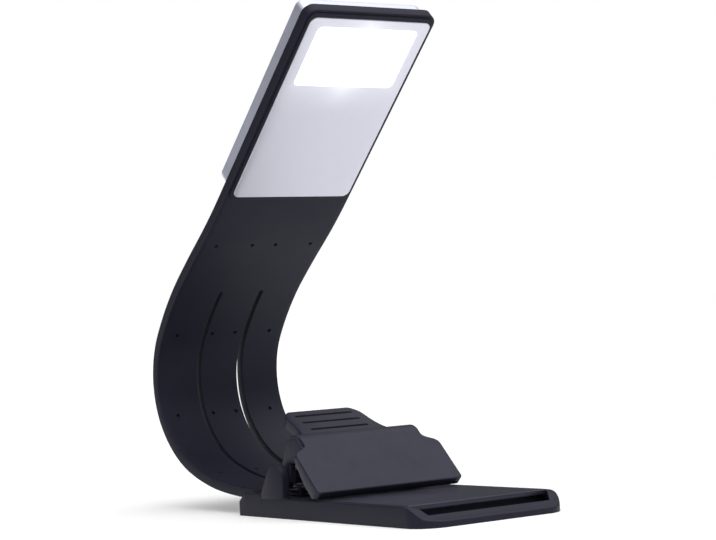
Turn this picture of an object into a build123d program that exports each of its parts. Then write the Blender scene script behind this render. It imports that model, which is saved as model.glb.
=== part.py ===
from build123d import *
import math
import os

os.makedirs("parts", exist_ok=True)

# A clip-on reading light: a sprung clip, a flat bendable arm and a flat lamp head.
# Frame: +X from the arm towards the clip's front lip, +Y across the light, +Z up.
# The origin is the middle of the clip's underside. Millimetres and degrees.

# Driving dimensions of the clip base
BASE_HALF_LENGTH = 55.0
ARM_HALF_WIDTH = 27.0
BASE_HALF_WIDTH = ARM_HALF_WIDTH + 3.2
BASE_TOP = 6.8
BASE_REAR_TOP = 8.2
REAR_WALL_TOP = 4.2
REAR_SLOPE_END = 5.4 - BASE_HALF_LENGTH
FLOOR = 1.6
RIM = 1.4
REAR_CORNER_RADIUS = 2.0
FRONT_CORNER_RADIUS = 9.0
SWEEP_START = BASE_HALF_LENGTH - 11.4
TRAY_FRONT = BASE_HALF_LENGTH - 10.0
TROUGH_FRONT = BASE_HALF_LENGTH - 5.6
TROUGH_FLOOR = 2.2
LIP_CREST_X = BASE_HALF_LENGTH - 4.0
LIP_CREST = 3.9
LIP_EDGE = 2.0

# Ears and pivot
PIVOT_X = 25.2 - BASE_HALF_LENGTH
PIVOT_Z = 13.6
PIN_RADIUS = 1.25
EAR_RADIUS = 5.1
EAR_THICKNESS = 3.0
EAR_INNER = BASE_HALF_WIDTH - EAR_THICKNESS
EAR_BACK = PIVOT_X - 9.2
EAR_FRONT = PIVOT_X + EAR_RADIUS
EAR_FOOT_RADIUS = 0.7
PIN_SEAT = 2.0

# Top plate, its screws and the pads
PLATE_TOP = 6.9
PLATE_THICKNESS = 1.7
PLATE_BACK = PIVOT_X + 6.2
PLATE_SEAM = 0.7
PLATE_HALF_WIDTH = BASE_HALF_WIDTH - RIM - PLATE_SEAM
PLATE_SCREWS = [
    (x, side * (PLATE_HALF_WIDTH - inset))
    for x, inset in ((PLATE_BACK + 8.6, 4.1), (TRAY_FRONT - 8.0, 6.6))
    for side in (1, -1)
]
PLATE_RIBS = [-10.0, 10.0]
PAD_BACK = PIVOT_X - 10.2
PAD_FRONT = TRAY_FRONT - 14.0
PAD_HALF_WIDTH = ARM_HALF_WIDTH - 9.0
PAD_RADIUS = 4.0
PAD_THICKNESS = 0.6

# Clamp jaw: top edge of the lever, foot of the lever, ridge, lower edge of the jaw
LEVER_TIP = (PIVOT_X - 15.9, PIVOT_Z + 21.8)
LEVER_FOOT = (PIVOT_X + 1.2, PIVOT_Z + 14.1)
RIDGE = (PIVOT_X + 8.9, PIVOT_Z + 14.95)
JAW_EDGE = (PIVOT_X + 27.9, PIVOT_Z - 4.1)
JAW_THICKNESS = 2.4
JAW_RIM = 1.4
JAW_RIM_DEPTH = 3.1
FLANGE = [(9.2, 2.4), (15.5, 3.8), (19.5, 4.5), (24.8, 4.5), (26.9, 3.0)]
JAW_HALF_WIDTH = BASE_HALF_WIDTH + 0.3
JAW_CORNER_RADIUS = 1.6
RIDGE_HALF_WIDTH = JAW_HALF_WIDTH - 5.3
RIDGE_RADIUS = 7.0
LEVER_HALF_WIDTH = RIDGE_HALF_WIDTH - 8.8
LEVER_TIP_HALF_WIDTH = LEVER_HALF_WIDTH - 3.4
LEVER_RIM_DEPTH = 4.0
LEVER_RIM = 1.4
GROOVE_HALF_LENGTH = LEVER_HALF_WIDTH - 4.1
GROOVE_WIDTH = 1.2
GROOVE_DEPTH = 0.6
GROOVE_STATIONS = [4.2, 9.5, 15.0]
CHEEK_OUTER = EAR_INNER - 1.6
CHEEK_THICKNESS = 2.5
HUB_RADIUS = 2.4
BOSS_RADIUS = 3.4
WEB_INNER = 8.0
WEB_THICKNESS = 1.5
JAW_PAD_START = 15.0
JAW_PAD_END = 24.5
JAW_PAD_HALF_WIDTH = JAW_HALF_WIDTH - 4.0
JAW_PAD_THICKNESS = 1.5
JAW_PAD_INSET = 0.4
EDGE_BREAK = 0.5

# Clamp spring, a double torsion spring on the jaw's hub
WIRE_RADIUS = 0.7
COIL_RADIUS = 3.3
COIL_TURNS = 3
COIL_PITCH = 2.4
COIL_START_Y = CHEEK_OUTER - 11.8
UPPER_LEG_LENGTH = LEVER_FOOT[1] - PIVOT_Z - 0.1
UPPER_LEG_ANGLE = 195.0
LOWER_LEG_LENGTH = 11.0
LOWER_LEG_ANGLE = 272.0
BEND_RADIUS = 1.6

# Arm: a flat sheet whose middle line is a chain of arcs, each a length and a clockwise turn
ARM_START = (PIVOT_X - 11.7, 7.4)
ARM_ARCS = [(27.0, 7.4), (24.0, 14.6), (24.0, 33.2), (36.7, 68.1), (27.7, 16.1), (20.0, 2.7), (22.6, -5.5)]
ARM_LENGTH = sum(length for length, turn in ARM_ARCS)
ARM_THICKNESS = 3.8
BEND_STATIONS = [28.0, 92.0, 126.0, 172.0]
KNUCKLE_GAP = 0.3
SLITS = [(17.1 - ARM_HALF_WIDTH, 18.7 - ARM_HALF_WIDTH), (ARM_HALF_WIDTH - 19.8, ARM_HALF_WIDTH - 16.5)]
SLIT_END_STATION = 133.5
PIT_STATIONS = [41.0, 79.4, 113.6, 160.0]
PIT_OFFSETS = [5.1, ARM_HALF_WIDTH - 6.3]
PIT_RADIUS = 0.7
PIT_DEPTH = 0.8
CORE_HALF_WIDTH = 2.5
CORE_THICKNESS = 0.5
CORE_OFFSETS = [9.0 - ARM_HALF_WIDTH, 0.0, ARM_HALF_WIDTH - 9.0]
CORE_CLEARANCE = 0.05
CORE_AFTER_BEND = 1.4
CORE_BEFORE_BEND = 3.4
CORE_TONGUE_END = PIVOT_X + 1.3

# Head: x runs up the head from the arm's end, y across, z to its back, from the sheet's middle
HEAD_TILT = 180.0 - sum(turn for length, turn in ARM_ARCS)
HEAD_LENGTH = 86.2
HEAD_CORNER_RADIUS = 4.0
PLATFORM_RISE = 0.7
PLATFORM_INSET = 1.0
FRONT_PLATE_START = 3.6
FRONT_PLATE_END = HEAD_LENGTH - 2.5
FRONT_PLATE_HALF_WIDTH = ARM_HALF_WIDTH - 2.0
FRONT_PLATE_THICKNESS = 0.8
FRONT_PLATE_PROUD = 0.4
FRONT_PLATE_RADIUS = 2.6
FRONT_PLATE_BEVEL = 0.25
WINDOW_START = HEAD_LENGTH - 31.3
WINDOW_END = HEAD_LENGTH - 6.0
WINDOW_HALF_WIDTH = FRONT_PLATE_HALF_WIDTH - 4.1
WINDOW_RADIUS = 2.0
CHAMBER_MARGIN = 1.7
HOUSING_START = 4.1
HOUSING_END = HEAD_LENGTH - 2.4
HOUSING_HALF_WIDTH = ARM_HALF_WIDTH - 1.2
HOUSING_RADIUS = 3.0
HOUSING_EDGE = 1.2
HOUSING_DEPTH = 6.3
HOUSING_WALL = 1.0
HEAD_SCREW_Y = FRONT_PLATE_HALF_WIDTH - 3.5
HEAD_SCREWS = [(x, side * HEAD_SCREW_Y) for x in (19.0, WINDOW_START - 4.9) for side in (1, -1)]
BUTTON_X = 10.4
BUTTON_RADIUS = 3.4
BUTTON_TRAVEL = 0.35

# Posts on the base that the spring's lower legs bear on
SPRING_POST_Y = COIL_START_Y + 7.6
SPRING_POST_HALF_WIDTH = 1.1
SPRING_POST_LENGTH = 1.6

# Clearances
SLIDING = 0.1
RUNNING = 0.05
SCREW_FIT = 0.02

HALF = ARM_THICKNESS / 2


def block(x0, x1, y0, y1, z0, z1):
    """Upright box between those corners."""
    centre = ((x0 + x1) / 2, (y0 + y1) / 2, (z0 + z1) / 2)
    return Pos(*centre) * Box(x1 - x0, y1 - y0, z1 - z0)


def rod_z(x, y, z0, z1, radius):
    """Round bar along Z."""
    return Pos(x, y, (z0 + z1) / 2) * Cylinder(radius, z1 - z0)


def rod_y(x, z, y0, y1, radius):
    """Round bar along Y."""
    return Pos(x, (y0 + y1) / 2, z) * Rot(90, 0, 0) * Cylinder(radius, y1 - y0)


def side_solid(face, y0, y1):
    """A face drawn in (X, Z) as a solid from y0 to y1."""
    return extrude(Plane.XZ.offset(-y0) * face, amount=y0 - y1)


def outline(points):
    """Face inside a closed run of straight edges."""
    return make_face(Polyline(*points, close=True))


def rounded_slab(x0, x1, half_width, radius, z0, z1):
    """Slab with four rounded corners, symmetric in Y."""
    face = Pos((x0 + x1) / 2, 0) * RectangleRounded(x1 - x0, 2 * half_width, radius)
    return extrude(Pos(0, 0, z0) * face, amount=z1 - z0)


def both_sides(solid):
    """The solid and its mirror image across the light's middle plane."""
    return [solid, mirror(solid, about=Plane.XZ)]


def offset_points(points, distance):
    """Corners of a run of straight edges, moved to the right of its direction."""
    moved = []
    for i, (x, z) in enumerate(points):
        ends = [points[max(i - 1, 0)], points[i], points[min(i + 1, len(points) - 1)]]
        normals = []
        for (ax, az), (bx, bz) in zip(ends[:-1], ends[1:]):
            length = math.hypot(bx - ax, bz - az)
            if length > 0:
                normals.append(((bz - az) / length, -(bx - ax) / length))
        nx = sum(n[0] for n in normals)
        nz = sum(n[1] for n in normals)
        size = math.hypot(nx, nz)
        nx, nz = nx / size, nz / size
        cosine = nx * normals[0][0] + nz * normals[0][1]
        moved.append((x + nx * distance / cosine, z + nz * distance / cosine))
    return moved


# Arm line and what follows it
def arm_at(station):
    """Point (X, Z) and heading of the arm's middle line at a length from its root."""
    x, z = ARM_START
    heading = 180.0
    for length, turn in ARM_ARCS:
        part = min(station, length)
        radius = length / math.radians(turn)
        after = heading - turn * part / length
        x += radius * (math.sin(math.radians(heading)) - math.sin(math.radians(after)))
        z += radius * (math.cos(math.radians(after)) - math.cos(math.radians(heading)))
        heading = after
        station -= part
        if station <= 0:
            break
    return x, z, heading


def arm_point(station, offset=0.0):
    """Point (X, Z) at a station, moved towards the arm's back by offset."""
    x, z, heading = arm_at(station)
    return x - offset * math.sin(math.radians(heading)), z + offset * math.cos(math.radians(heading))


def arm_edges(start, end, offset):
    """Arcs that follow the arm at a steady offset, from one station to another."""
    joints = [0.0]
    for length, _ in ARM_ARCS:
        joints.append(joints[-1] + length)
    stations = [start] + [j for j in joints if start + 0.01 < j < end - 0.01] + [end]
    return [
        ThreePointArc(arm_point(a, offset), arm_point((a + b) / 2, offset), arm_point(b, offset))
        for a, b in zip(stations[:-1], stations[1:])
    ]


def sheet_face(start, end, back, front):
    """Side view of a length of sheet, from back to front offsets of the arm's middle line."""
    tip = Line(arm_point(end, back), arm_point(end, front))
    root = Line(arm_point(start, front), arm_point(start, back))
    return make_face(arm_edges(start, end, back) + [tip] + arm_edges(start, end, front) + [root])


def sheet_solid(start, end, half_width, back=HALF, front=-HALF, centre=0.0):
    """Length of the arm's sheet or of a strip inside it."""
    face = sheet_face(start, end, back, front)
    return side_solid(face, centre - half_width, centre + half_width)


def arm_frame(station, y=0.0):
    """Location on the arm's middle line: x along the arm, y across, z to its back."""
    x, z, heading = arm_at(station)
    return Pos(x, y, z) * Rot(0, -heading, 0)


def pits(rows):
    """Small blind holes in the arm's front face."""
    solids = []
    for station in rows:
        for offset in PIT_OFFSETS:
            for side in (-1, 1):
                place = arm_frame(station, side * offset)
                hole = Pos(0, 0, PIT_DEPTH / 2 - HALF) * Cylinder(PIT_RADIUS, PIT_DEPTH)
                solids.append(place * hole)
    return solids


def core_strips(start, end, margin=0.0):
    """The bendable strips between two stations, with a margin all round for their pockets."""
    thick = CORE_THICKNESS / 2 + margin
    wide = CORE_HALF_WIDTH + margin
    return [sheet_solid(start, end, wide, thick, -thick, y) for y in CORE_OFFSETS]


def bend_rod(index, radius):
    """Bar along a bend's axis, across the whole sheet."""
    x, z, _ = arm_at(BEND_STATIONS[index])
    return rod_y(x, z, -ARM_HALF_WIDTH, ARM_HALF_WIDTH, radius)


def slit_cutters(start, end):
    """Cutters for the two slits over a length of sheet."""
    reach = 2 * HALF
    return [
        sheet_solid(start, end, (y1 - y0) / 2, reach, -reach, (y0 + y1) / 2)
        for y0, y1 in SLITS
    ]


def slit_ends():
    """Round ends of the two slits."""
    solids = []
    for y0, y1 in SLITS:
        place = arm_frame(SLIT_END_STATION, (y0 + y1) / 2)
        solids.append(place * Cylinder((y1 - y0) / 2, 4 * HALF))
    return solids


def three_strips(solid):
    """Sheet cut by both slits over its whole length."""
    reach = ARM_LENGTH
    for y0, y1 in SLITS:
        solid = solid - block(ARM_START[0] - reach, ARM_START[0] + reach, y0, y1, -reach, reach)
    return solid


def core_span(index):
    """Stations between which the cores of one length of arm lie."""
    start = 0.0 if index == 0 else BEND_STATIONS[index - 1] + CORE_AFTER_BEND
    return start, BEND_STATIONS[index] - CORE_BEFORE_BEND


def make_arm_root():
    """End of the sheet that the clip holds, in three strips."""
    solid = sheet_solid(0.0, BEND_STATIONS[0], ARM_HALF_WIDTH)
    solid = solid - bend_rod(0, HALF + KNUCKLE_GAP)
    start, end = core_span(0)
    pockets = core_strips(start, BEND_STATIONS[0], CORE_CLEARANCE)
    return three_strips(solid - pockets)


def make_arm_length(index):
    """One of the free lengths of sheet, from bend index - 1 to bend index."""
    start, end = BEND_STATIONS[index - 1], BEND_STATIONS[index]
    solid = sheet_solid(start, end, ARM_HALF_WIDTH)
    solid = solid + bend_rod(index - 1, HALF)
    solid = solid - bend_rod(index, HALF + KNUCKLE_GAP)
    solid = solid - pits([s for s in PIT_STATIONS if start < s < end])
    return solid - core_strips(core_span(index)[0] - CORE_CLEARANCE, end, CORE_CLEARANCE)


def make_arm_upper():
    """Upper length of sheet, whole above the ends of the slits."""
    solid = make_arm_length(3)
    solid = solid - slit_cutters(BEND_STATIONS[2] - 2 * HALF, SLIT_END_STATION)
    return solid - slit_ends()


def make_arm_core(index):
    """Bendable strips of one length of arm."""
    return core_strips(*core_span(index))


def make_arm_core_root():
    """Strips of the arm's root, with the flat tongues that the cover bar clamps."""
    x, z = ARM_START
    half = CORE_THICKNESS / 2
    tongues = [
        block(x, CORE_TONGUE_END, y - CORE_HALF_WIDTH, y + CORE_HALF_WIDTH, z - half, z + half)
        for y in CORE_OFFSETS
    ]
    return [strip + tongue for strip, tongue in zip(make_arm_core(0), tongues)]


# Clip base
PEDESTAL_BACK = ARM_START[0] + 0.2
PEDESTAL_FRONT = PIVOT_X + 4.4
PEDESTAL_TOP = ARM_START[1] - CORE_THICKNESS / 2 - CORE_CLEARANCE
SEAT_TOP = ARM_START[1] - HALF - SLIDING
COVER_BACK = PIVOT_X - 9.8
COVER_FRONT = PIVOT_X + 2.0
COVER_TOP = 8.7
COVER_HALF_WIDTH = CORE_OFFSETS[2] + 2.2
COVER_SCREWS = [(PIVOT_X - 4.0, side * CORE_OFFSETS[2] / 2) for side in (1, -1)]
POCKET_BACK = 2.0 - BASE_HALF_LENGTH
POCKET_FRONT = ARM_START[0] - 1.9


def base_side_outline():
    """Side view of the whole base: sloped back, flat rims, and the sweep down to the lip."""
    back, front = -BASE_HALF_LENGTH, BASE_HALF_LENGTH
    straight = Polyline(
        (SWEEP_START, BASE_TOP),
        (EAR_BACK, BASE_TOP),
        (EAR_BACK, BASE_REAR_TOP),
        (REAR_SLOPE_END, BASE_REAR_TOP),
        (back, REAR_WALL_TOP),
        (back, 0),
        (front, 0),
        (front, LIP_EDGE),
    )
    drop = BASE_TOP - LIP_EDGE
    sweep = Spline(
        (front, LIP_EDGE),
        (front - 3.2, LIP_EDGE + 0.22 * drop),
        (front - 4.9, LIP_EDGE + 0.52 * drop),
        (front - 7.2, LIP_EDGE + 0.84 * drop),
        (SWEEP_START, BASE_TOP),
        tangents=[(-2, 0.8), (-1, 0)],
    )
    return make_face([straight, sweep])


def base_plan():
    """Plan of the base, with small rear corners and large front ones."""
    plan = Rectangle(2 * BASE_HALF_LENGTH, 2 * BASE_HALF_WIDTH)
    corners = plan.vertices().sort_by(Axis.X)
    plan = fillet(corners[:2], REAR_CORNER_RADIUS)
    corners = plan.vertices().sort_by(Axis.X)
    return fillet(corners[-2:], FRONT_CORNER_RADIUS)


def lip_outline():
    """Side view of what is cut away above the trough and the lip."""
    front = BASE_HALF_LENGTH
    back = TRAY_FRONT - 1
    floor = Polyline((back, TROUGH_FLOOR), (TROUGH_FRONT, TROUGH_FLOOR), (LIP_CREST_X - 0.9, LIP_CREST - 0.6))
    crest = Spline(
        (LIP_CREST_X - 0.9, LIP_CREST - 0.6),
        (LIP_CREST_X, LIP_CREST),
        (LIP_CREST_X + 1.6, LIP_CREST - 0.5),
        (front, LIP_EDGE),
        tangents=[(0.5, 1), (1, -0.6)],
    )
    rest = Polyline((front, LIP_EDGE), (front + 5, LIP_EDGE), (front + 5, 12), (back, 12), (back, TROUGH_FLOOR))
    return make_face([floor, crest, rest])


def touch_point(x, z, centre_x, centre_z, radius):
    """Point where the line from (x, z) touches the back of a circle."""
    distance = math.dist((x, z), (centre_x, centre_z))
    angle = math.atan2(z - centre_z, x - centre_x) - math.acos(radius / distance)
    return centre_x + radius * math.cos(angle), centre_z + radius * math.sin(angle)


def ear():
    """One pivot ear, on the +Y side."""
    back = touch_point(EAR_BACK, BASE_REAR_TOP, PIVOT_X, PIVOT_Z, EAR_RADIUS)
    foot = BASE_TOP + EAR_FOOT_RADIUS
    low = BASE_TOP - 1
    face = outline([
        (EAR_BACK, BASE_REAR_TOP),
        back,
        (PIVOT_X, PIVOT_Z),
        (EAR_FRONT, PIVOT_Z),
        (EAR_FRONT, foot),
        (EAR_FRONT + EAR_FOOT_RADIUS, low),
        (EAR_BACK, low),
    ])
    toe = Pos(EAR_FRONT, low) * Rectangle(2 * EAR_FOOT_RADIUS, 2 * (foot - low))
    toe = toe - Pos(EAR_FRONT + EAR_FOOT_RADIUS, foot) * Circle(EAR_FOOT_RADIUS)
    face = face + toe + Pos(PIVOT_X, PIVOT_Z) * Circle(EAR_RADIUS)
    solid = side_solid(face, EAR_INNER, BASE_HALF_WIDTH)
    return solid - rod_y(PIVOT_X, PIVOT_Z, EAR_INNER, EAR_INNER + PIN_SEAT, PIN_RADIUS)


def floor_ribs():
    """Ribs that carry the top plate."""
    top = PLATE_TOP - PLATE_THICKNESS
    front = TRAY_FRONT - 1.8
    ribs = [block(PEDESTAL_FRONT, front, y - 0.6, y + 0.6, FLOOR, top) for y in PLATE_RIBS]
    ribs.append(block(front - 1.2, front, -PLATE_HALF_WIDTH, PLATE_HALF_WIDTH, FLOOR, top))
    return ribs


def spring_posts():
    """Two posts in front of the arm's seat, just under the spring's lower legs."""
    top = PIVOT_Z - COIL_RADIUS - WIRE_RADIUS
    y0, y1 = SPRING_POST_Y - SPRING_POST_HALF_WIDTH, SPRING_POST_Y + SPRING_POST_HALF_WIDTH
    return both_sides(block(PEDESTAL_FRONT - SPRING_POST_LENGTH, PEDESTAL_FRONT, y0, y1, PEDESTAL_TOP - 1, top))


def base_pad_slab(margin):
    """The pad, or its recess when drawn with a margin."""
    wide = PAD_HALF_WIDTH + margin
    return rounded_slab(PAD_BACK - margin, PAD_FRONT + margin, wide, PAD_RADIUS, 0, PAD_THICKNESS)


def make_clip_base():
    """Tray with rims, ears, the seat of the arm's root, trough and lip."""
    inner = BASE_HALF_WIDTH - RIM
    above = BASE_REAR_TOP + 4
    side_view = side_solid(base_side_outline(), -BASE_HALF_WIDTH - 1, BASE_HALF_WIDTH + 1)
    body = extrude(base_plan(), amount=above) & side_view
    tray = block(PEDESTAL_FRONT, TRAY_FRONT, -inner, inner, FLOOR, above)
    ears_gap = block(PEDESTAL_BACK, PEDESTAL_FRONT, -EAR_INNER, EAR_INNER, PEDESTAL_TOP, above)
    seat = block(-BASE_HALF_LENGTH - 1, PEDESTAL_BACK, -inner, inner, SEAT_TOP, above)
    trough = side_solid(lip_outline(), -inner, inner)
    body = body - [tray, ears_gap, seat, trough]
    body = body + floor_ribs() + both_sides(ear()) + spring_posts()
    cuts = [base_pad_slab(SLIDING)]
    for x, y in PLATE_SCREWS:
        cuts.append(rod_z(x, y, 0, 0.9, 2.0))
        cuts.append(rod_z(x, y, 0, FLOOR, 1.1))
    for x, y in COVER_SCREWS:
        cuts.append(rod_z(x, y, 2.6, PEDESTAL_TOP, 0.8 + SCREW_FIT))
    cuts.extend(both_sides(block(POCKET_BACK, POCKET_FRONT, RIM / 2, inner - RIM, -1, SEAT_TOP - FLOOR)))
    return body - cuts


def make_base_top_plate():
    """Inset plate on the tray, with four screw bosses under it."""
    under = PLATE_TOP - PLATE_THICKNESS
    plate = block(PLATE_BACK, TRAY_FRONT, -PLATE_HALF_WIDTH, PLATE_HALF_WIDTH, under, PLATE_TOP)
    front_edge = plate.edges().filter_by(Axis.Y).sort_by(lambda e: e.center().X + e.center().Z)[-1]
    plate = fillet(front_edge, 0.5)
    for x, y in PLATE_SCREWS:
        plate = plate + rod_z(x, y, FLOOR + RUNNING, under + 0.1, 2.6)
    for x, y in PLATE_SCREWS:
        plate = plate - rod_z(x, y, FLOOR, 6.1, 0.8 + SCREW_FIT)
    return plate


def make_plate_screws():
    """Four screws from below, through the floor into the plate's bosses."""
    return [rod_z(x, y, 0.1, 0.9, 1.8) + rod_z(x, y, 0.8, 6.0, 0.8) for x, y in PLATE_SCREWS]


def make_base_pad():
    """Soft pad let into the underside."""
    return base_pad_slab(0)


def make_root_cover():
    """Bar that clamps the tongues of the arm's strips onto the pedestal."""
    low = ARM_START[1] + CORE_THICKNESS / 2 + CORE_CLEARANCE
    bar = block(COVER_BACK, COVER_FRONT, -COVER_HALF_WIDTH, COVER_HALF_WIDTH, low, COVER_TOP)
    bar = chamfer(bar.edges().filter_by(Axis.Y).group_by(Axis.Z)[-1], EDGE_BREAK)
    for x, y in COVER_SCREWS:
        bar = bar + block(COVER_BACK, COVER_FRONT, y - 2.0, y + 2.0, PEDESTAL_TOP, low)
    for x, y in COVER_SCREWS:
        bar = bar - rod_z(x, y, 5, 10, 0.9) - rod_z(x, y, COVER_TOP - 0.6, 10, 1.7)
    return bar


def make_cover_screws():
    """Two screws of the cover bar."""
    head = COVER_TOP - 0.55
    return [rod_z(x, y, head, COVER_TOP, 1.6) + rod_z(x, y, 2.8, head + 0.1, 0.8) for x, y in COVER_SCREWS]


def make_pivot_pin():
    """Steel axle between the ears."""
    half = EAR_INNER + PIN_SEAT
    return rod_y(PIVOT_X, PIVOT_Z, -half, half, PIN_RADIUS)


# Clamp jaw
def slope_plane(start, end):
    """Plane with x along a sloping edge, y across the light and z outward from the plate."""
    dx, dz = end[0] - start[0], end[1] - start[1]
    return Plane(origin=(start[0], 0, start[1]), x_dir=(dx, 0, dz), z_dir=(-dz, 0, dx))


jaw_plane = slope_plane(RIDGE, JAW_EDGE)
lever_plane = slope_plane(LEVER_TIP, LEVER_FOOT)
JAW_LENGTH = math.dist(RIDGE, JAW_EDGE)
LEVER_LENGTH = math.dist(LEVER_TIP, LEVER_FOOT)


def jaw_outline():
    """Jaw face seen square on: narrow ridge, notch, shoulder and straight sides."""
    end = JAW_LENGTH
    corner = JAW_CORNER_RADIUS
    notch = Spline(
        (-3.5, RIDGE_HALF_WIDTH),
        (2.0, RIDGE_HALF_WIDTH - 0.3),
        (4.6, RIDGE_HALF_WIDTH - 0.4),
        (6.2, RIDGE_HALF_WIDTH + 0.6),
        (7.2, JAW_HALF_WIDTH - 2.8),
        (8.2, JAW_HALF_WIDTH - 0.9),
        (10.4, JAW_HALF_WIDTH),
        tangents=[(1, 0), (1, 0)],
    )
    side = Line((10.4, JAW_HALF_WIDTH), (end - corner, JAW_HALF_WIDTH))
    turn = RadiusArc((end - corner, JAW_HALF_WIDTH), (end, JAW_HALF_WIDTH - corner), corner)
    return symmetric_face([notch, side, turn])


def lever_outline(inset=0.0):
    """Thumb lever seen square on: rounded tip, nearly straight sides and a flare to the ridge."""
    half = LEVER_HALF_WIDTH - inset
    side = Spline(
        (inset, LEVER_TIP_HALF_WIDTH - inset - 1.5),
        (inset + 1.1, LEVER_TIP_HALF_WIDTH - inset + 1.1),
        (5.0, half - 0.3),
        (11.0, half + 0.1),
        (16.4, half + 1.2),
        (19.8, half + 4.0),
        (22.8, RIDGE_HALF_WIDTH - inset),
        tangents=[(0, 1), (1, 0.2)],
    )
    rest = Line((22.8, RIDGE_HALF_WIDTH - inset), (LEVER_LENGTH + 9, RIDGE_HALF_WIDTH - inset))
    return symmetric_face([side, rest])


def symmetric_face(half):
    """Face between a run of edges and its mirror image, closed straight across at both ends."""
    other = [mirror(edge, about=Plane.XZ) for edge in half]
    start, end = half[0] @ 0, half[-1] @ 1
    across = [Line((start.X, -start.Y), (start.X, start.Y)), Line((end.X, end.Y), (end.X, -end.Y))]
    return make_face(half + other + across)


def bent_plate(points, depth):
    """Plate of a steady thickness under a run of edges, across the whole width."""
    under = offset_points(points, depth)
    return side_solid(outline(points + under[::-1]), -JAW_HALF_WIDTH, JAW_HALF_WIDTH)


def through(plane, face, reach=12.0):
    """Solid that reaches both ways through a plane from a face drawn on it."""
    return extrude(plane * face, amount=reach, both=True)


def jaw_face_plate():
    """The jaw's sloping plate with its shouldered outline and softened edges."""
    plate = bent_plate([RIDGE, JAW_EDGE], JAW_THICKNESS) & through(jaw_plane, jaw_outline())
    outer = plate.faces().sort_by(lambda f: (f.center() - jaw_plane.origin).dot(jaw_plane.z_dir))[-1]
    return fillet(outer.edges().sort_by(lambda e: e.center().X)[1:], EDGE_BREAK)


def jaw_flanges():
    """Rim along the jaw's lower edge and deeper flanges along its sides."""
    low = [under_jaw(t, depth - JAW_THICKNESS / 2) for t, depth in FLANGE]
    high = [under_jaw(t, 0) for t, depth in (FLANGE[-1], FLANGE[0])]
    sides = both_sides(side_solid(outline(low + high), JAW_HALF_WIDTH - JAW_RIM, JAW_HALF_WIDTH))
    start = under_jaw(JAW_LENGTH - JAW_RIM, -JAW_THICKNESS / 2)
    end = bent_plate([start, JAW_EDGE], JAW_RIM_DEPTH) - bent_plate([start, JAW_EDGE], JAW_THICKNESS / 2)
    shape = through(jaw_plane, jaw_outline())
    return [end & shape] + [side & shape for side in sides]


def lever_plate():
    """Thumb lever: a plate with a deeper rim round its underside and three grooves on top."""
    run = [LEVER_TIP, LEVER_FOOT, RIDGE]
    solid = bent_plate(run, LEVER_RIM_DEPTH) & through(lever_plane, lever_outline())
    hollow = bent_plate(offset_points(run, JAW_THICKNESS), LEVER_RIM_DEPTH)
    hollow = hollow & through(lever_plane, lever_outline(LEVER_RIM))
    solid = solid - hollow
    for station in GROOVE_STATIONS:
        slot = Pos(station, 0) * Rot(0, 0, 90) * SlotOverall(2 * GROOVE_HALF_LENGTH, GROOVE_WIDTH)
        solid = solid - extrude(lever_plane * slot, amount=-GROOVE_DEPTH)
    return solid


def under_jaw(t, depth=0.0):
    """Point (X, Z) under the jaw's plate, at a length from the ridge."""
    ux, uz = (JAW_EDGE[0] - RIDGE[0]) / JAW_LENGTH, (JAW_EDGE[1] - RIDGE[1]) / JAW_LENGTH
    down = JAW_THICKNESS / 2 + depth
    return RIDGE[0] + ux * t + uz * down, RIDGE[1] + uz * t - ux * down


def cheek():
    """Side arm from the ridge down to the pivot boss, on the +Y side."""
    low = PIVOT_Z + 5.0
    top = (LEVER_FOOT[0] + 0.7, LEVER_FOOT[1] - 1.1)
    side = touch_point(*top, PIVOT_X, PIVOT_Z, BOSS_RADIUS)
    face = outline([
        top,
        under_jaw(0.6),
        under_jaw(9.5),
        (PIVOT_X + 12.8, low),
        (PIVOT_X + BOSS_RADIUS, low),
        (PIVOT_X + BOSS_RADIUS, PIVOT_Z),
        (PIVOT_X, PIVOT_Z),
        side,
    ])
    face = face + Pos(PIVOT_X, PIVOT_Z) * Circle(BOSS_RADIUS)
    return side_solid(face, CHEEK_OUTER - CHEEK_THICKNESS, CHEEK_OUTER)


def web():
    """Inner web between the hub and the jaw's plate, on the +Y side."""
    face = outline([
        (PIVOT_X, PIVOT_Z + 2.0),
        under_jaw(3.0),
        under_jaw(14.0),
        (PIVOT_X, PIVOT_Z - 2.0),
    ])
    return side_solid(face, WEB_INNER, WEB_INNER + WEB_THICKNESS)


def jaw_pad_slab(margin, low, high):
    """Slab along the jaw's underside, by heights from its outer face."""
    length = JAW_PAD_END - JAW_PAD_START + 2 * margin
    face = Pos((JAW_PAD_START + JAW_PAD_END) / 2, 0) * Rectangle(length, 2 * (JAW_PAD_HALF_WIDTH + margin))
    return extrude(jaw_plane.offset(low) * face, amount=high - low)


def ridge_trim():
    """What is cut off the ridge: the corner outside an arc that touches both slopes."""
    corner = Vector(*RIDGE)
    back = (Vector(*LEVER_FOOT) - corner).normalized()
    front = (Vector(*JAW_EDGE) - corner).normalized()
    half = math.radians(back.get_angle(front)) / 2
    reach = RIDGE_RADIUS / math.tan(half)
    centre = corner + (back + front).normalized() * (RIDGE_RADIUS / math.sin(half))
    middle = centre - (back + front).normalized() * RIDGE_RADIUS
    arc = ThreePointArc(corner + back * reach, middle, corner + front * reach)
    outside = corner - (back + front).normalized() * RIDGE_RADIUS
    rest = Polyline(corner + front * reach, outside + front * reach, outside + back * reach, corner + back * reach)
    return side_solid(make_face([arc, rest]), -JAW_HALF_WIDTH, JAW_HALF_WIDTH)


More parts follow.
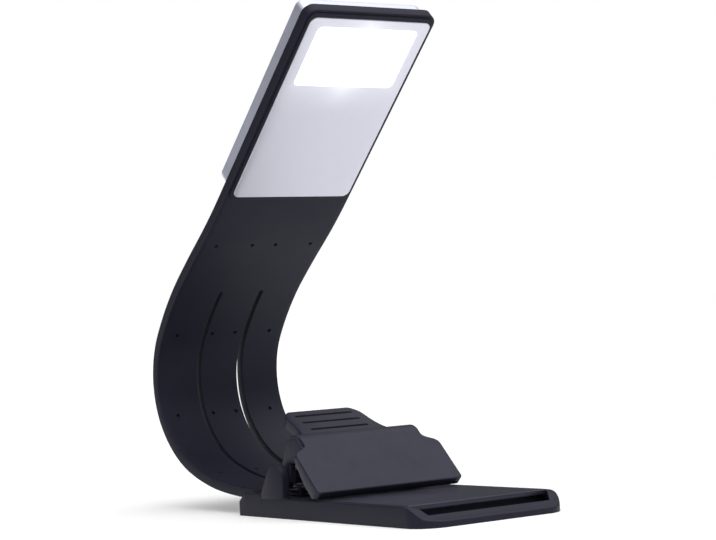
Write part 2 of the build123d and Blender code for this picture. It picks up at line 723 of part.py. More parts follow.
def make_clamp_jaw():
    """Jaw face, ridge, thumb lever, cheeks, webs and hub in one moulding."""
    body = jaw_face_plate() + lever_plate() - ridge_trim()
    body = body + jaw_flanges() + both_sides(cheek()) + both_sides(web())
    inner = CHEEK_OUTER - CHEEK_THICKNESS
    body = body + rod_y(PIVOT_X, PIVOT_Z, -inner - 0.5, inner + 0.5, HUB_RADIUS)
    body = body - rod_y(PIVOT_X, PIVOT_Z, -CHEEK_OUTER - 1, CHEEK_OUTER + 1, PIN_RADIUS + RUNNING)
    return body - jaw_pad_slab(RUNNING, -JAW_THICKNESS - 1, JAW_PAD_INSET - JAW_THICKNESS)


def make_jaw_pad():
    """Soft grip pad let into the jaw's underside."""
    top = JAW_PAD_INSET - JAW_THICKNESS - RUNNING
    return jaw_pad_slab(0, top - JAW_PAD_THICKNESS, top)


# Clamp spring
def biarc(p0, t0, p1, t1):
    """Two arcs that join p0 to p1 with those end directions."""
    v = p1 - p0
    t = t0 + t1
    bend = 1 - t0.dot(t1)
    if bend < 1e-9:
        return [Edge.make_line(p0, p1)]
    along = v.dot(t)
    d = (-along + math.sqrt(along * along + 2 * bend * v.dot(v))) / (2 * bend)
    middle = (p0 + t0 * d + p1 - t1 * d) * 0.5
    first = Edge.make_tangent_arc(p0, t0, middle)
    second = Edge.make_tangent_arc(middle, first.tangent_at(1), p1)
    return [first, second]


def spring_half():
    """Points and directions of the +Y half of the wire, from the middle of its bridge outward."""
    across = Vector(0, 1, 0)
    turn = 2 * math.pi
    slope = COIL_PITCH / turn
    start = math.radians(UPPER_LEG_ANGLE)
    axis = Vector(PIVOT_X, 0, PIVOT_Z)

    def coil(angle):
        out = Vector(math.cos(start + angle), 0, math.sin(start + angle)) * COIL_RADIUS
        return axis + out + across * (COIL_START_Y + slope * angle)

    def direction(angle):
        round_way = Vector(-math.sin(start + angle), 0, math.cos(start + angle)) * COIL_RADIUS
        return (round_way + across * slope).normalized()

    down = direction(0)
    leg_top = coil(0) - down * UPPER_LEG_LENGTH
    bridge_end = leg_top - down * BEND_RADIUS - across * BEND_RADIUS
    nodes = [(Vector(bridge_end.X, 0, bridge_end.Z), across), (bridge_end, across), (leg_top, down)]
    end_angle = turn * COIL_TURNS + math.radians(LOWER_LEG_ANGLE) - start
    steps = math.ceil(end_angle / (turn / 2))
    for i in range(steps + 1):
        angle = end_angle * i / steps
        nodes.append((coil(angle), direction(angle)))
    last, way = nodes[-1]
    nodes.append((last + way * LOWER_LEG_LENGTH, way))
    return nodes


def mirrored(v):
    """A vector on the light's other side."""
    return Vector(v.X, -v.Y, v.Z)


def make_clamp_spring():
    """Round wire swept along the whole spring as one tube."""
    half = spring_half()
    other = [(mirrored(p), mirrored(t) * -1) for p, t in reversed(half)]
    nodes = other[:-1] + half[1:]
    edges = []
    for (p0, t0), (p1, t1) in zip(nodes[:-1], nodes[1:]):
        edges.extend(biarc(p0, t0, p1, t1))
    wire = Wire(edges)
    section = Plane(origin=nodes[0][0], z_dir=nodes[0][1]) * Circle(WIRE_RADIUS)
    print("clamp spring: least gap between turns", round(self_gap(edges), 2), "mm")
    return sweep(section, path=wire)


def self_gap(edges):
    """Least distance between the surfaces of stretches of wire that lie apart along it."""
    points, travel = [], []
    run = 0.0
    for edge in edges:
        for i in range(6):
            points.append(edge @ (i / 6))
            travel.append(run + edge.length * i / 6)
        run += edge.length
    least = math.inf
    apart = 2 * math.pi * COIL_RADIUS * 0.6
    for i, (p, s) in enumerate(zip(points, travel)):
        for q, r in zip(points[i + 1:], travel[i + 1:]):
            if r - s > apart:
                least = min(least, (p - q).length)
    return least - 2 * WIRE_RADIUS


# Head, made lying flat in its own frame and then set at its tilt
end_x, end_z, _ = arm_at(ARM_LENGTH)
head_place = Pos(end_x, 0, end_z) * Rot(0, -HEAD_TILT, 0)
SHEET_FRONT = -HALF
SHEET_BACK = HALF
PLATFORM_FRONT = SHEET_FRONT - PLATFORM_RISE
FRONT_PLATE_FACE = PLATFORM_FRONT - FRONT_PLATE_PROUD
FRONT_PLATE_BACK = FRONT_PLATE_FACE + FRONT_PLATE_THICKNESS
CHAMBER_START = WINDOW_START - CHAMBER_MARGIN
CHAMBER_END = WINDOW_END + CHAMBER_MARGIN
CHAMBER_HALF_WIDTH = WINDOW_HALF_WIDTH + CHAMBER_MARGIN
HOUSING_BACK = SHEET_BACK + HOUSING_DEPTH
HOUSING_INNER_BACK = HOUSING_BACK - HOUSING_WALL
LED_BOARD_FRONT = 2.5
BOARD_THICKNESS = 0.8
REFLECTOR_WALL = 0.9
DIFFUSER_FLANGE = 0.6
LED_SIZE = 3.0
LED_HEIGHT = 0.7
LED_ROWS = 3
LED_COLUMNS = 4
CONTROL_BOARD_FRONT = 2.2
CONTROL_BOARD_BACK = CONTROL_BOARD_FRONT + BOARD_THICKNESS
BUTTON_FOOT = SHEET_BACK + HOUSING_DEPTH - HOUSING_WALL - 1.75
BUTTON_PROUD = 0.6
FLANGE_THICKNESS = 0.7
FLANGE_RADIUS = 4.4
SOCKET_WIDTH = 8.94
SOCKET_HEIGHT = 3.2
SOCKET_DEPTH = 7.3
STATUS_Y = 7.5
STATUS_RADIUS = 0.8
CELL_START = 17.0
CELL_HALF_WIDTH = HEAD_SCREW_Y - 4.5
CELL_THICKNESS = 4.5


def make_head_frame():
    """Black frame of the head, one piece with the top of the arm's sheet."""
    neck = sheet_solid(BEND_STATIONS[3], ARM_LENGTH, ARM_HALF_WIDTH) + bend_rod(3, HALF)
    plate = block(-0.01, HEAD_LENGTH, -ARM_HALF_WIDTH, ARM_HALF_WIDTH, SHEET_FRONT, SHEET_BACK)
    tip_edges = plate.edges().filter_by(Axis.Z).sort_by(Axis.X)[-2:]
    plate = fillet(tip_edges, HEAD_CORNER_RADIUS)
    platform = rounded_slab(
        FRONT_PLATE_START - 1.4,
        HEAD_LENGTH - PLATFORM_INSET,
        ARM_HALF_WIDTH - PLATFORM_INSET,
        HEAD_CORNER_RADIUS - PLATFORM_INSET,
        PLATFORM_FRONT,
        SHEET_FRONT,
    )
    body = plate + platform
    body = body - rounded_slab(
        FRONT_PLATE_START - SLIDING,
        FRONT_PLATE_END + SLIDING,
        FRONT_PLATE_HALF_WIDTH + SLIDING,
        FRONT_PLATE_RADIUS,
        PLATFORM_FRONT - 1,
        FRONT_PLATE_BACK,
    )
    body = body - rounded_slab(CHAMBER_START, CHAMBER_END, CHAMBER_HALF_WIDTH, 1.5, -5, 5)
    for x, y in HEAD_SCREWS:
        body = body - rod_z(x, y, FRONT_PLATE_BACK, FRONT_PLATE_BACK + 0.85, 1.5)
        body = body - rod_z(x, y, FRONT_PLATE_BACK, SHEET_BACK + 1, 0.75)
    return neck + head_place * body


def make_front_plate():
    """Silver plate with the window opening and a fine bevel round it."""
    plate = rounded_slab(
        FRONT_PLATE_START, FRONT_PLATE_END, FRONT_PLATE_HALF_WIDTH, FRONT_PLATE_RADIUS,
        FRONT_PLATE_FACE, FRONT_PLATE_BACK,
    )
    rim = plate.faces().sort_by(Axis.Z)[0].outer_wire().edges()
    plate = chamfer(rim, FRONT_PLATE_BEVEL)
    window = rounded_slab(
        WINDOW_START, WINDOW_END, WINDOW_HALF_WIDTH, WINDOW_RADIUS, FRONT_PLATE_FACE - 1, FRONT_PLATE_BACK + 1
    )
    return head_place * (plate - window)


def make_diffuser():
    """Milky window with a flange behind the plate."""
    plug = rounded_slab(
        WINDOW_START + RUNNING, WINDOW_END - RUNNING, WINDOW_HALF_WIDTH - RUNNING, WINDOW_RADIUS,
        FRONT_PLATE_FACE + 0.1, FRONT_PLATE_BACK,
    )
    flange = rounded_slab(
        WINDOW_START - 1, WINDOW_END + 1, WINDOW_HALF_WIDTH + 1, WINDOW_RADIUS,
        FRONT_PLATE_BACK, FRONT_PLATE_BACK + DIFFUSER_FLANGE,
    )
    return head_place * (plug + flange)


def make_reflector():
    """White light box between the lamps and the window."""
    x0, x1, y = CHAMBER_START + 0.2, CHAMBER_END - 0.2, CHAMBER_HALF_WIDTH - 0.2
    low, high = FRONT_PLATE_BACK + DIFFUSER_FLANGE, LED_BOARD_FRONT
    outer = rounded_slab(x0, x1, y, 1.4, low, high)
    inner = rounded_slab(
        x0 + REFLECTOR_WALL, x1 - REFLECTOR_WALL, y - REFLECTOR_WALL, 0.5, low - 1, high + 1
    )
    return head_place * (outer - inner)


def make_led_board():
    """Circuit board behind the window."""
    back = LED_BOARD_FRONT + BOARD_THICKNESS
    x0, x1, half = WINDOW_START - 2.4, WINDOW_END + 2.4, WINDOW_HALF_WIDTH + 2.7
    return head_place * rounded_slab(x0, x1, half, 2.0, LED_BOARD_FRONT, back)


def make_leds():
    """Twelve lamps in a grid on their board."""
    lamps = []
    x_step = (WINDOW_END - WINDOW_START) / LED_ROWS
    y_step = 2 * WINDOW_HALF_WIDTH / LED_COLUMNS
    for i in range(LED_ROWS):
        for j in range(LED_COLUMNS):
            x = WINDOW_START + x_step * (i + 0.5)
            y = -WINDOW_HALF_WIDTH + y_step * (j + 0.5)
            lamp = Pos(x, y, LED_BOARD_FRONT - LED_HEIGHT / 2) * Box(LED_SIZE, LED_SIZE, LED_HEIGHT)
            lamps.append(head_place * lamp)
    return lamps


def make_battery():
    """Flat pouch cell with soft edges and its folded end."""
    x0, x1 = CELL_START, WINDOW_START - 4.2
    cell = block(x0, x1, -CELL_HALF_WIDTH, CELL_HALF_WIDTH, SHEET_BACK + SLIDING, SHEET_BACK + CELL_THICKNESS)
    cell = fillet(cell.edges().filter_by(Axis.X), 1.2)
    middle = SHEET_BACK + CELL_THICKNESS / 2
    fold = block(x0 - 0.9, x0 + 0.1, 3 - CELL_HALF_WIDTH, CELL_HALF_WIDTH - 3, middle - 0.7, middle + 0.7)
    return head_place * (cell + fold)


def make_control_board():
    """Board with the switch, the charging socket and the charge lamp."""
    x0, x1, y1 = BUTTON_X - 4.5, BUTTON_X + 4.6, HOUSING_HALF_WIDTH - HOUSING_WALL - 0.5
    board = block(x0, x1, 2.0 - HEAD_SCREW_Y, y1, CONTROL_BOARD_FRONT, CONTROL_BOARD_BACK)
    board = fillet(board.edges().filter_by(Axis.Z), 1.5)
    chip = block(BUTTON_X - 2, BUTTON_X + 2, -14.0, -10.0, CONTROL_BOARD_BACK, CONTROL_BOARD_BACK + 0.9)
    return head_place * (board + chip)


def make_tact_switch():
    """Small push switch under the button."""
    low = CONTROL_BOARD_BACK
    body = block(BUTTON_X - 2.3, BUTTON_X + 2.3, -2.3, 2.3, low, low + 1.2)
    plunger = rod_z(BUTTON_X, 0, low + 1.1, BUTTON_FOOT - BUTTON_TRAVEL, 1.0)
    return head_place * (body + plunger)


def socket_face(grow):
    """Rounded outline of the charging socket, seen from its mouth."""
    return RectangleRounded(SOCKET_WIDTH + 2 * grow, SOCKET_HEIGHT + 2 * grow, 1.2 + grow)


def socket_solid(grow, y0, y1):
    """Bar with the socket's outline between two distances across the head."""
    z = CONTROL_BOARD_BACK + SOCKET_HEIGHT / 2
    face = Plane(origin=(BUTTON_X, y0, z), x_dir=(1, 0, 0), z_dir=(0, 1, 0)) * socket_face(grow)
    return extrude(face, amount=y1 - y0)


def make_charge_socket():
    """Metal shell open to the side, with its contact tongue."""
    mouth = HOUSING_HALF_WIDTH - 0.2
    inner = mouth - SOCKET_DEPTH
    shell = socket_solid(0, inner, mouth) - socket_solid(-0.3, inner + 0.8, mouth + 1)
    z = CONTROL_BOARD_BACK + SOCKET_HEIGHT / 2
    tongue = block(BUTTON_X - 3.3, BUTTON_X + 3.3, inner + 0.7, mouth - 0.9, z - 0.35, z + 0.35)
    return head_place * (shell + tongue)


def make_power_button():
    """Round button in the housing's back, with a flange that keeps it in."""
    cap = rod_z(BUTTON_X, 0, BUTTON_FOOT, HOUSING_BACK + BUTTON_PROUD, BUTTON_RADIUS)
    rim = cap.edges().filter_by(GeomType.CIRCLE).sort_by(Axis.Z)[-1]
    cap = fillet(rim, 0.4)
    flange = rod_z(BUTTON_X, 0, BUTTON_FOOT, BUTTON_FOOT + FLANGE_THICKNESS, FLANGE_RADIUS)
    return head_place * (cap + flange)


def make_status_window():
    """Light pipe of the charge lamp."""
    return head_place * rod_z(BUTTON_X, STATUS_Y, HOUSING_INNER_BACK - 0.6, HOUSING_BACK, STATUS_RADIUS)


def housing_box(margin):
    """The housing's outer box, or its hollow when drawn in by a margin."""
    radius = HOUSING_RADIUS - margin
    return rounded_slab(
        HOUSING_START + margin, HOUSING_END - margin, HOUSING_HALF_WIDTH - margin, radius,
        SHEET_BACK, HOUSING_BACK - margin,
    )


def make_rear_housing():
    """Silver box on the back of the head, with bosses, button guide and socket opening."""
    outer = housing_box(0)
    outer = fillet(outer.faces().sort_by(Axis.Z)[-1].edges(), HOUSING_EDGE)
    body = outer - housing_box(HOUSING_WALL)
    for x, y in HEAD_SCREWS:
        body = body + rod_z(x, y, SHEET_BACK, HOUSING_INNER_BACK + 0.1, 1.9)
    guide = rod_z(BUTTON_X, 0, BUTTON_FOOT - 0.6, HOUSING_INNER_BACK + 0.1, FLANGE_RADIUS + 1.0)
    body = body + (guide - rod_z(BUTTON_X, 0, 4, 9, FLANGE_RADIUS + SLIDING))
    body = body - rod_z(BUTTON_X, 0, 4, 9, BUTTON_RADIUS + SLIDING)
    body = body - rod_z(BUTTON_X, STATUS_Y, HOUSING_INNER_BACK - 0.5, 9, STATUS_RADIUS + SCREW_FIT)
    for x, y in HEAD_SCREWS:
        body = body - rod_z(x, y, 1, 5.2, 0.7 + SCREW_FIT)
    return head_place * (body - socket_solid(0.1, HOUSING_HALF_WIDTH - 5, HOUSING_HALF_WIDTH + 5))


def make_head_screws():
    """Four screws under the front plate, into the housing's bosses."""
    head = FRONT_PLATE_BACK
    return [
        head_place * (rod_z(x, y, head + 0.02, head + 0.82, 1.4) + rod_z(x, y, head + 0.5, 5.0, 0.7))
        for x, y in HEAD_SCREWS
    ]


def save(name, made):
    """Writes one named node, of one solid or several."""
    solids = []
    for item in made if isinstance(made, (list, tuple)) else [made]:
        solids.extend(item.solids())
    for solid in solids:
        solid.label = name
    shape = solids[0] if len(solids) == 1 else Compound(children=solids, label=name)
    export_step(shape, f"parts/{name}.step")


NODES = {
    "clip_base": make_clip_base,
    "base_top_plate": make_base_top_plate,
    "plate_screws": make_plate_screws,
    "base_pad": make_base_pad,
    "root_cover": make_root_cover,
    "cover_screws": make_cover_screws,
    "pivot_pin": make_pivot_pin,
    "clamp_jaw": make_clamp_jaw,
    "jaw_pad": make_jaw_pad,
    "clamp_spring": make_clamp_spring,
    "arm_root": make_arm_root,
    "arm_core_root": make_arm_core_root,
    "arm_lower": lambda: three_strips(make_arm_length(1)),
    "arm_core_lower": lambda: make_arm_core(1),
    "arm_middle": lambda: three_strips(make_arm_length(2)),
    "arm_core_middle": lambda: make_arm_core(2),
    "arm_upper": make_arm_upper,
    "arm_core_upper": lambda: make_arm_core(3),
    "head_frame": make_head_frame,
    "front_plate": make_front_plate,
    "diffuser": make_diffuser,
    "reflector": make_reflector,
    "led_board": make_led_board,
    "leds": make_leds,
    "battery": make_battery,
    "control_board": make_control_board,
    "tact_switch": make_tact_switch,
    "charge_socket": make_charge_socket,
    "power_button": make_power_button,
    "status_window": make_status_window,
    "rear_housing": make_rear_housing,
    "head_screws": make_head_screws,
}

for node, maker in NODES.items():
    save(node, maker())

for index, station in enumerate(BEND_STATIONS):
    x, z, _ = arm_at(station)
    print(f"bend {index + 1}: x {x:.2f} z {z:.2f}")
button = head_place * Pos(BUTTON_X, 0, HOUSING_BACK)
print("button at", [round(v, 2) for v in button.position])
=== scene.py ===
import math
from functools import partial

import bmesh
import bpy
import numpy as np
from mathutils import Matrix, Vector


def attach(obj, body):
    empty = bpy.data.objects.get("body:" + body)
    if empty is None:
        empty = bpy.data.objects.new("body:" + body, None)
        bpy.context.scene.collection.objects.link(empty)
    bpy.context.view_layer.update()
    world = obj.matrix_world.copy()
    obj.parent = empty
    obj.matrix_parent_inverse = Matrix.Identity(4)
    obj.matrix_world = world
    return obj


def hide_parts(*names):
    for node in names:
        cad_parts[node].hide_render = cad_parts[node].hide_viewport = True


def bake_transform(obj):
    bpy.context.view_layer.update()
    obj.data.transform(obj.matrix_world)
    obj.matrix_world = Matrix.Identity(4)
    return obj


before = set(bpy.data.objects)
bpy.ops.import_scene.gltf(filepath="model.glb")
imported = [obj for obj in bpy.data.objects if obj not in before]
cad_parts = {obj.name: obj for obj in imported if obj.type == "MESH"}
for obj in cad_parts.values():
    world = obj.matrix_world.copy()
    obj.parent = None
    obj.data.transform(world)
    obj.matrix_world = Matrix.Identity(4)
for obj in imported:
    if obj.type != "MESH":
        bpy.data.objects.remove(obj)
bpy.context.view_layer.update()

bl_info = {
    "name": "Clip-on reading light",
    "version": (1, 0, 0),
    "blender": (4, 5, 0),
    "location": "3D View > Sidebar > Reading light",
    "description": "Builds the skin, mouldings, finishes and studio of a clip-on reading light",
    "category": "Add Mesh",
}

# All shapes are written in millimetres and turned into metres when a mesh is made.
# Frame: +X from the arm towards the clip's front lip, +Y across the light, +Z up.
MM = 0.001

# Middle line of the bendable sheet: each arc is a length and a clockwise turn
ARM_START = (-41.5, 7.4)
ARM_ARCS = [(27.0, 7.4), (24.0, 14.6), (24.0, 33.2), (36.7, 68.1), (27.7, 16.1), (20.0, 2.7), (22.6, -5.5)]
ARM_LENGTH = sum(length for length, turn in ARM_ARCS)
ARM_HALF_WIDTH = 27.0
ARM_HALF_THICKNESS = 1.9

# Each slit: its two edges in the CAD, how far beside each the grid gives way, and its middle and half
# width at the knots along the sheet, so that it leans and narrows towards its closed end
SLITS = [
    (-9.9, -8.3, 2.0, 1.9, [-9.1, -9.1, -8.9, -8.4, -7.9], [0.8, 0.8, 0.8, 0.75, 0.7]),
    (7.2, 10.5, 0.84, 2.5, [9.0, 9.35, 9.45, 9.75, 10.1], [1.35, 1.35, 1.3, 0.85, 0.85]),
]
SLIT_KNOTS = [40.0, 66.0, 92.0, 114.0, 133.5]
SLIT_END = 133.5
SLIT_EDGE = 0.16
SLIT_STIFF = 0.33
PIT_STATIONS = [41.0, 79.4, 113.6, 160.0]
PIT_ACROSS = [-20.7, -5.1, 5.1, 20.7]
PIT_RADIUS = 0.7
PIT_WALL = 0.08
PIT_REACH = 1.25
PIT_BLEND = 0.45

# Grid lines of the sheet, as distances from an edge, a slit's edge and a pit's middle, and in between
EDGE_LINES = np.array([0.0, 0.04, 0.1, 0.2, 0.36])
SLIT_LINES = np.array([0.0, 0.04, 0.1, 0.17, 0.32])
PIT_LINES = np.array([0.0, 0.3, 0.6, 0.68, 0.8, PIT_REACH])
OPEN_LINES = [-24.6, -22.6, -17.5, -15.0, -12.5, -2.5, 0.0, 2.5, 12.5, 15.0, 17.5, 22.6, 24.6]

# Each length of skin: its two bodies, first and last station, where the bend starts and ends, and what
# it stands in for
SKINS = {
    "arm_skin_root": ("clip", "lower_arm", 0.0, 60.0, 16.0, 40.0, ["arm_root"]),
    "arm_skin_lower": ("lower_arm", "middle_arm", 60.0, 109.0, 78.0, 106.0, ["arm_lower"]),
    "arm_skin_middle": ("middle_arm", "upper_arm", 109.0, 149.0, 114.0, 138.0, ["arm_middle"]),
    "arm_skin_head": ("upper_arm", "head", 149.0, 268.2, 163.0, 181.0, ["arm_upper", "head_frame"]),
}

# Head, in its own frame: x up the head from the arm's end, y across, z to its back. Each box is the
# first and last x, the half width and the corner radius.
HEAD_TILT = math.radians(180.0 - sum(turn for length, turn in ARM_ARCS))
HEAD_LENGTH = 86.2
HEAD_CORNER = 4.0
PLATFORM = (2.2, 85.2, 26.0, 3.0)
PLATE_SEAT = (3.5, 83.8, 25.1, 2.6)
FRONT_PLATE = (3.6, 83.7, 25.0, 2.6)
WINDOW = (54.9, 80.2, 20.9, 2.0)
CHAMBER = (53.2, 81.9, 22.6, 1.5)
BORDER_BOTTOM = -1.6
SHEET_FRONT = -1.9
PLATE_BACK = -2.2
PLATFORM_FRONT = -2.6
PLATE_FACE = -3.0
BORDER_EDGE = 0.22
WINDOW_EDGE = 0.06

# Clip base. A curve is its knots along X and its values there.
BASE_HALF_LENGTH = 55.0
BASE_HALF_WIDTH = 30.2
BASE_TOP = 6.8
BASE_REAR_TOP = 8.2
BASE_REAR_CORNER = 2.0
BASE_FRONT_CORNER = 9.0
BASE_FOOT_EDGE = 0.3
BACK_SLOPE_START = -49.6
BACK_SLOPE_END_HEIGHT = 4.2
RIM_INNER = 28.8
RIM_THINNEST = 0.95
RIM_SWEEP = ([43.6, 45.6, 47.8, 50.1, 51.8, 55.0], [6.8, 6.66, 6.03, 4.5, 3.06, 2.0])
RIM_SPREAD = ([43.0, 45.0, 47.0, 49.0, 51.5], [0.0, 0.8, 1.8, 2.6, 3.0])
SEAT_TOP = 5.4
PEDESTAL = (-41.3, -25.4)
PEDESTAL_TOP = 7.1
TRAY_FLOOR = 1.6
FRONT_RIB = (42.0, 43.2)
FRONT_RIB_TOP = 5.15
TROUGH_AND_LIP = ([43.2, 49.4, 50.1, 51.0, 52.6, 55.0], [2.2, 2.2, 3.3, 3.9, 3.4, 2.0])
PAD_RECESS = (-40.1, 31.1, 18.1, 4.0)
PAD_DEPTH = 0.6
REAR_POCKETS = (-53.0, -43.4)
POCKET_ACROSS = (0.7, 27.4)
POCKET_DEPTH = 3.8
TOP_PLATE = (-23.6, 45.0, 28.1, 0.5)
TOP_PLATE_HEIGHTS = (5.2, 6.9)

# Pivot ears with the posts that hold the spring's long legs
PIVOT = (-29.8, 13.6)
EAR_INNER = 27.2
EAR_RADIUS = 5.1
EAR_BACK = -39.0
EAR_FRONT = -24.7
EAR_TOE_RADIUS = 0.7
SPRING_POST = (-27.0, -25.4, 20.3, 22.5, 6.5, 9.6, 0.15)

# Jaw with its thumb lever: corners of the side view and the radii at the middle two
LEVER_TIP = (-45.7, 35.4)
LEVER_FOOT = (-28.6, 27.7)
RIDGE = (-20.9, 28.55)
JAW_EDGE = (-1.9, 9.5)
FOOT_RADIUS = 2.0
RIDGE_RADIUS = 7.0
RIDGE_START = -3.5
JAW_THICKNESS = 2.4
JAW_WALL = 1.4
JAW_CORNER = 1.6
JAW_ROUNDING = 0.5
JAW_RIM_ROUNDING = 0.3

# Half widths along the lever and along the jaw, and how far their rims reach down
LEVER_WIDTHS = ([0, 0.35, 1.1, 2.4, 5.0, 11.0, 16.4, 18.2, 19.8, 21.4, 22.8, 30],
                [11.5, 13.1, 14.1, 15.1, 16.1, 16.5, 17.6, 18.6, 20.4, 23.2, 25.2, 25.2])
JAW_WIDTHS = ([-9, RIDGE_START, 2.0, 4.6, 5.5, 6.2, 7.2, 8.2, 9.2, 10.4, 40],
              [25.2, 25.2, 24.9, 24.8, 25.1, 25.8, 27.7, 29.6, 30.3, 30.5, 30.5])
LEVER_RIM = 4.0
JAW_RIM = ([RIDGE_START, -1, 3, 9.2, 15.5, 19.5, 24.8, 26.9], [LEVER_RIM, 3.4, 2.4, 2.4, 3.8, 4.5, 4.5, 3.1])
GROOVE_STATIONS = [4.2, 9.5, 15.0]
GROOVE_HALF_LENGTH = 12.3
GROOVE_HALF_WIDTH = 0.6
GROOVE_WALL = 0.12

# Lines of the jaw's sections, from its two ends and a groove's middle, and points across the lever
LEVER_END_LINES = np.array([0.0, 0.04, 0.12, 0.25, 0.5, 0.8, 1.1, 1.36, 1.44])
JAW_END_LINES = np.array([0.0, 0.04, 0.12, 0.25, 0.5, 0.75, 1.0, 1.3, 1.36, 1.44, 1.6, 1.8])
GROOVE_LINES = np.array([0.0, 0.3, 0.5, 0.56, 0.66, 0.9])
LEVER_POINTS = np.array([0.0, 4.0, 8.0, 11.0, 11.7, 12.0, 12.2, 12.32, 12.6, 13.2])

# What carries the jaw on its pivot
CHEEK_TOP = (-27.9, 26.6)
CHEEK_FRONT = -17.0
CHEEK_STEP = 5.0
CHEEK_ACROSS = (23.1, 25.6)
CHEEK_EDGE = 0.35
BOSS_RADIUS = 3.4
WEB_ACROSS = (8.0, 9.5)
WEB_EDGE = 0.1
WEB_HALF_HEIGHT = 2.0
HUB_HALF_LENGTH = 23.6
HUB_RADIUS = 2.4


def length_value(name, description, default, low, high):
    """Length that a user can set, from values in millimetres."""
    return bpy.props.FloatProperty(name=name, description=description, default=default * MM, min=low * MM,
                                   max=high * MM, unit="LENGTH", precision=5)


def colour_value(name, description, default):
    """Colour that a user can set."""
    return bpy.props.FloatVectorProperty(name=name, description=description, subtype="COLOR",
                                         default=default, min=0.0, max=1.0)


class LightSizes(bpy.types.PropertyGroup):
    """Small sizes of the light that a user would change."""

    sheet_edge: length_value("Sheet edge", "Radius of the soft edges of the bendable sheet", 0.36, 0.1, 1.2)
    pit_depth: length_value("Pit depth", "Depth of the small pits in the sheet's front", 0.8, 0.1, 1.2)
    mould_edge: length_value("Moulded edge", "Radius of the edges of the clip's mouldings", 0.45, 0.1, 0.6)
    groove_depth: length_value("Groove depth", "Depth of the three grooves of the thumb lever", 0.6, 0.1, 1.2)
    plate_bevel: length_value("Plate bevel", "Bevel round the silver front plate", 0.25, 0.05, 0.4)


class LightColours(bpy.types.PropertyGroup):
    """Colours of the light that a user would change."""

    silicone: colour_value("Silicone", "Black of the bendable sheet", (0.0125, 0.012, 0.023))
    clip: colour_value("Clip", "Black of the clip's mouldings", (0.019, 0.0186, 0.031))
    silver: colour_value("Silver", "Anodised silver of the front plate and the housing", (0.69, 0.69, 0.78))
    window: colour_value("Window", "Light of the lit window", (1.0, 1.0, 1.0))
    floor: colour_value("Floor", "Pale floor of the studio", (0.68, 0.68, 0.68))


def sizes():
    """The scene's sizes."""
    return bpy.context.scene.light_sizes


def colours():
    """The scene's colours."""
    return bpy.context.scene.light_colours


# Curves and profiles
def arm_line(stations):
    """X, Z and heading at stations along the sheet: along each arc X grows by r (sin h0 - sin h)
    and Z by r (cos h - cos h0), with h = h0 - s / r, and past the last arc the line runs straight on."""
    stations = np.asarray(stations, float)
    x = np.full(stations.shape, ARM_START[0])
    z = np.full(stations.shape, ARM_START[1])
    heading = np.full(stations.shape, math.pi)
    before, begun = math.pi, 0.0
    for length, turn in ARM_ARCS:
        radius = length / math.radians(turn)
        angle = np.clip(stations - begun, 0.0, length) / radius
        x += radius * (math.sin(before) - np.sin(before - angle))
        z += radius * (np.cos(before - angle) - math.cos(before))
        heading -= angle
        before -= math.radians(turn)
        begun += length
    past = np.clip(stations - begun, 0.0, None)
    return x + past * math.cos(before), z + past * math.sin(before), heading


def arm_points(stations, across, offset):
    """Points at a station along the sheet, a distance across it and an offset towards its back."""
    x, z, heading = arm_line(stations)
    return np.stack([x - offset * np.sin(heading), across + 0 * x, z + offset * np.cos(heading)], -1)


def head_points(local):
    """Points of the head's own frame, turned up by the head's tilt and moved to the sheet's end."""
    x, z, _ = arm_line(np.array([ARM_LENGTH]))
    c, s = math.cos(HEAD_TILT), math.sin(HEAD_TILT)
    u, v, w = np.moveaxis(np.asarray(local, float), -1, 0)
    return np.stack([x[0] + u * c - w * s, v, z[0] + u * s + w * c], -1)


def smooth_curve(knots, values, at):
    """Cubic Hermite curve through knots: v = h00 v0 + h10 m0 + h01 v1 + h11 m1, where a knot's slope is
    the harmonic mean of its neighbours' slopes, or 0 where these differ in sign."""
    knots, values = np.asarray(knots, float), np.asarray(values, float)
    steep = np.diff(values) / np.diff(knots)
    same = steep[:-1] * steep[1:] > 0
    inner = np.where(same, 2 * steep[:-1] * steep[1:] / np.where(same, steep[:-1] + steep[1:], 1.0), 0.0)
    slopes = np.concatenate([[steep[0]], inner, [steep[-1]]])
    at = np.clip(at, knots[0], knots[-1])
    k = np.clip(np.searchsorted(knots, at) - 1, 0, len(knots) - 2)
    step = knots[k + 1] - knots[k]
    t = (at - knots[k]) / step
    return ((2 * t ** 3 - 3 * t ** 2 + 1) * values[k] + (t ** 3 - 2 * t ** 2 + t) * step * slopes[k]
            + (3 * t ** 2 - 2 * t ** 3) * values[k + 1] + (t ** 3 - t ** 2) * step * slopes[k + 1])


def edge_drop(distance, radius):
    """How far a face has fallen at a distance from its edge: r - sqrt(r^2 - (r - d)^2)."""
    gone = np.clip(radius - distance, 0.0, radius)
    return radius - np.sqrt(radius ** 2 - gone ** 2)


def quarter_turn(steps):
    """Pairs of 1 - cos a and 1 - sin a, at equal angles a over a quarter circle."""
    a = np.linspace(0.0, math.pi / 2, steps + 1)
    return list(zip(1 - np.cos(a), 1 - np.sin(a)))


def corner_steps(radius, steps):
    """Distances from the end of a round corner, r (1 - cos a) at equal angles."""
    return radius * np.array(quarter_turn(steps - 1))[:, 0]


def circle_points(centre, radius, angles):
    """Points c + r (cos a, sin a) of a circle."""
    return np.column_stack([centre[0] + radius * np.cos(angles), centre[1] + radius * np.sin(angles)])


def merge_lines(*groups):
    """Sorted values of all groups, without near repeats."""
    values = np.sort(np.concatenate([np.atleast_1d(np.asarray(g, float)) for g in groups]))
    return values[np.concatenate([[True], np.diff(values) > 0.02])]


def both_ways(middles, lines):
    """Lines at these distances on either side of each middle."""
    return [middle + way * lines for middle in middles for way in (-1, 1)]


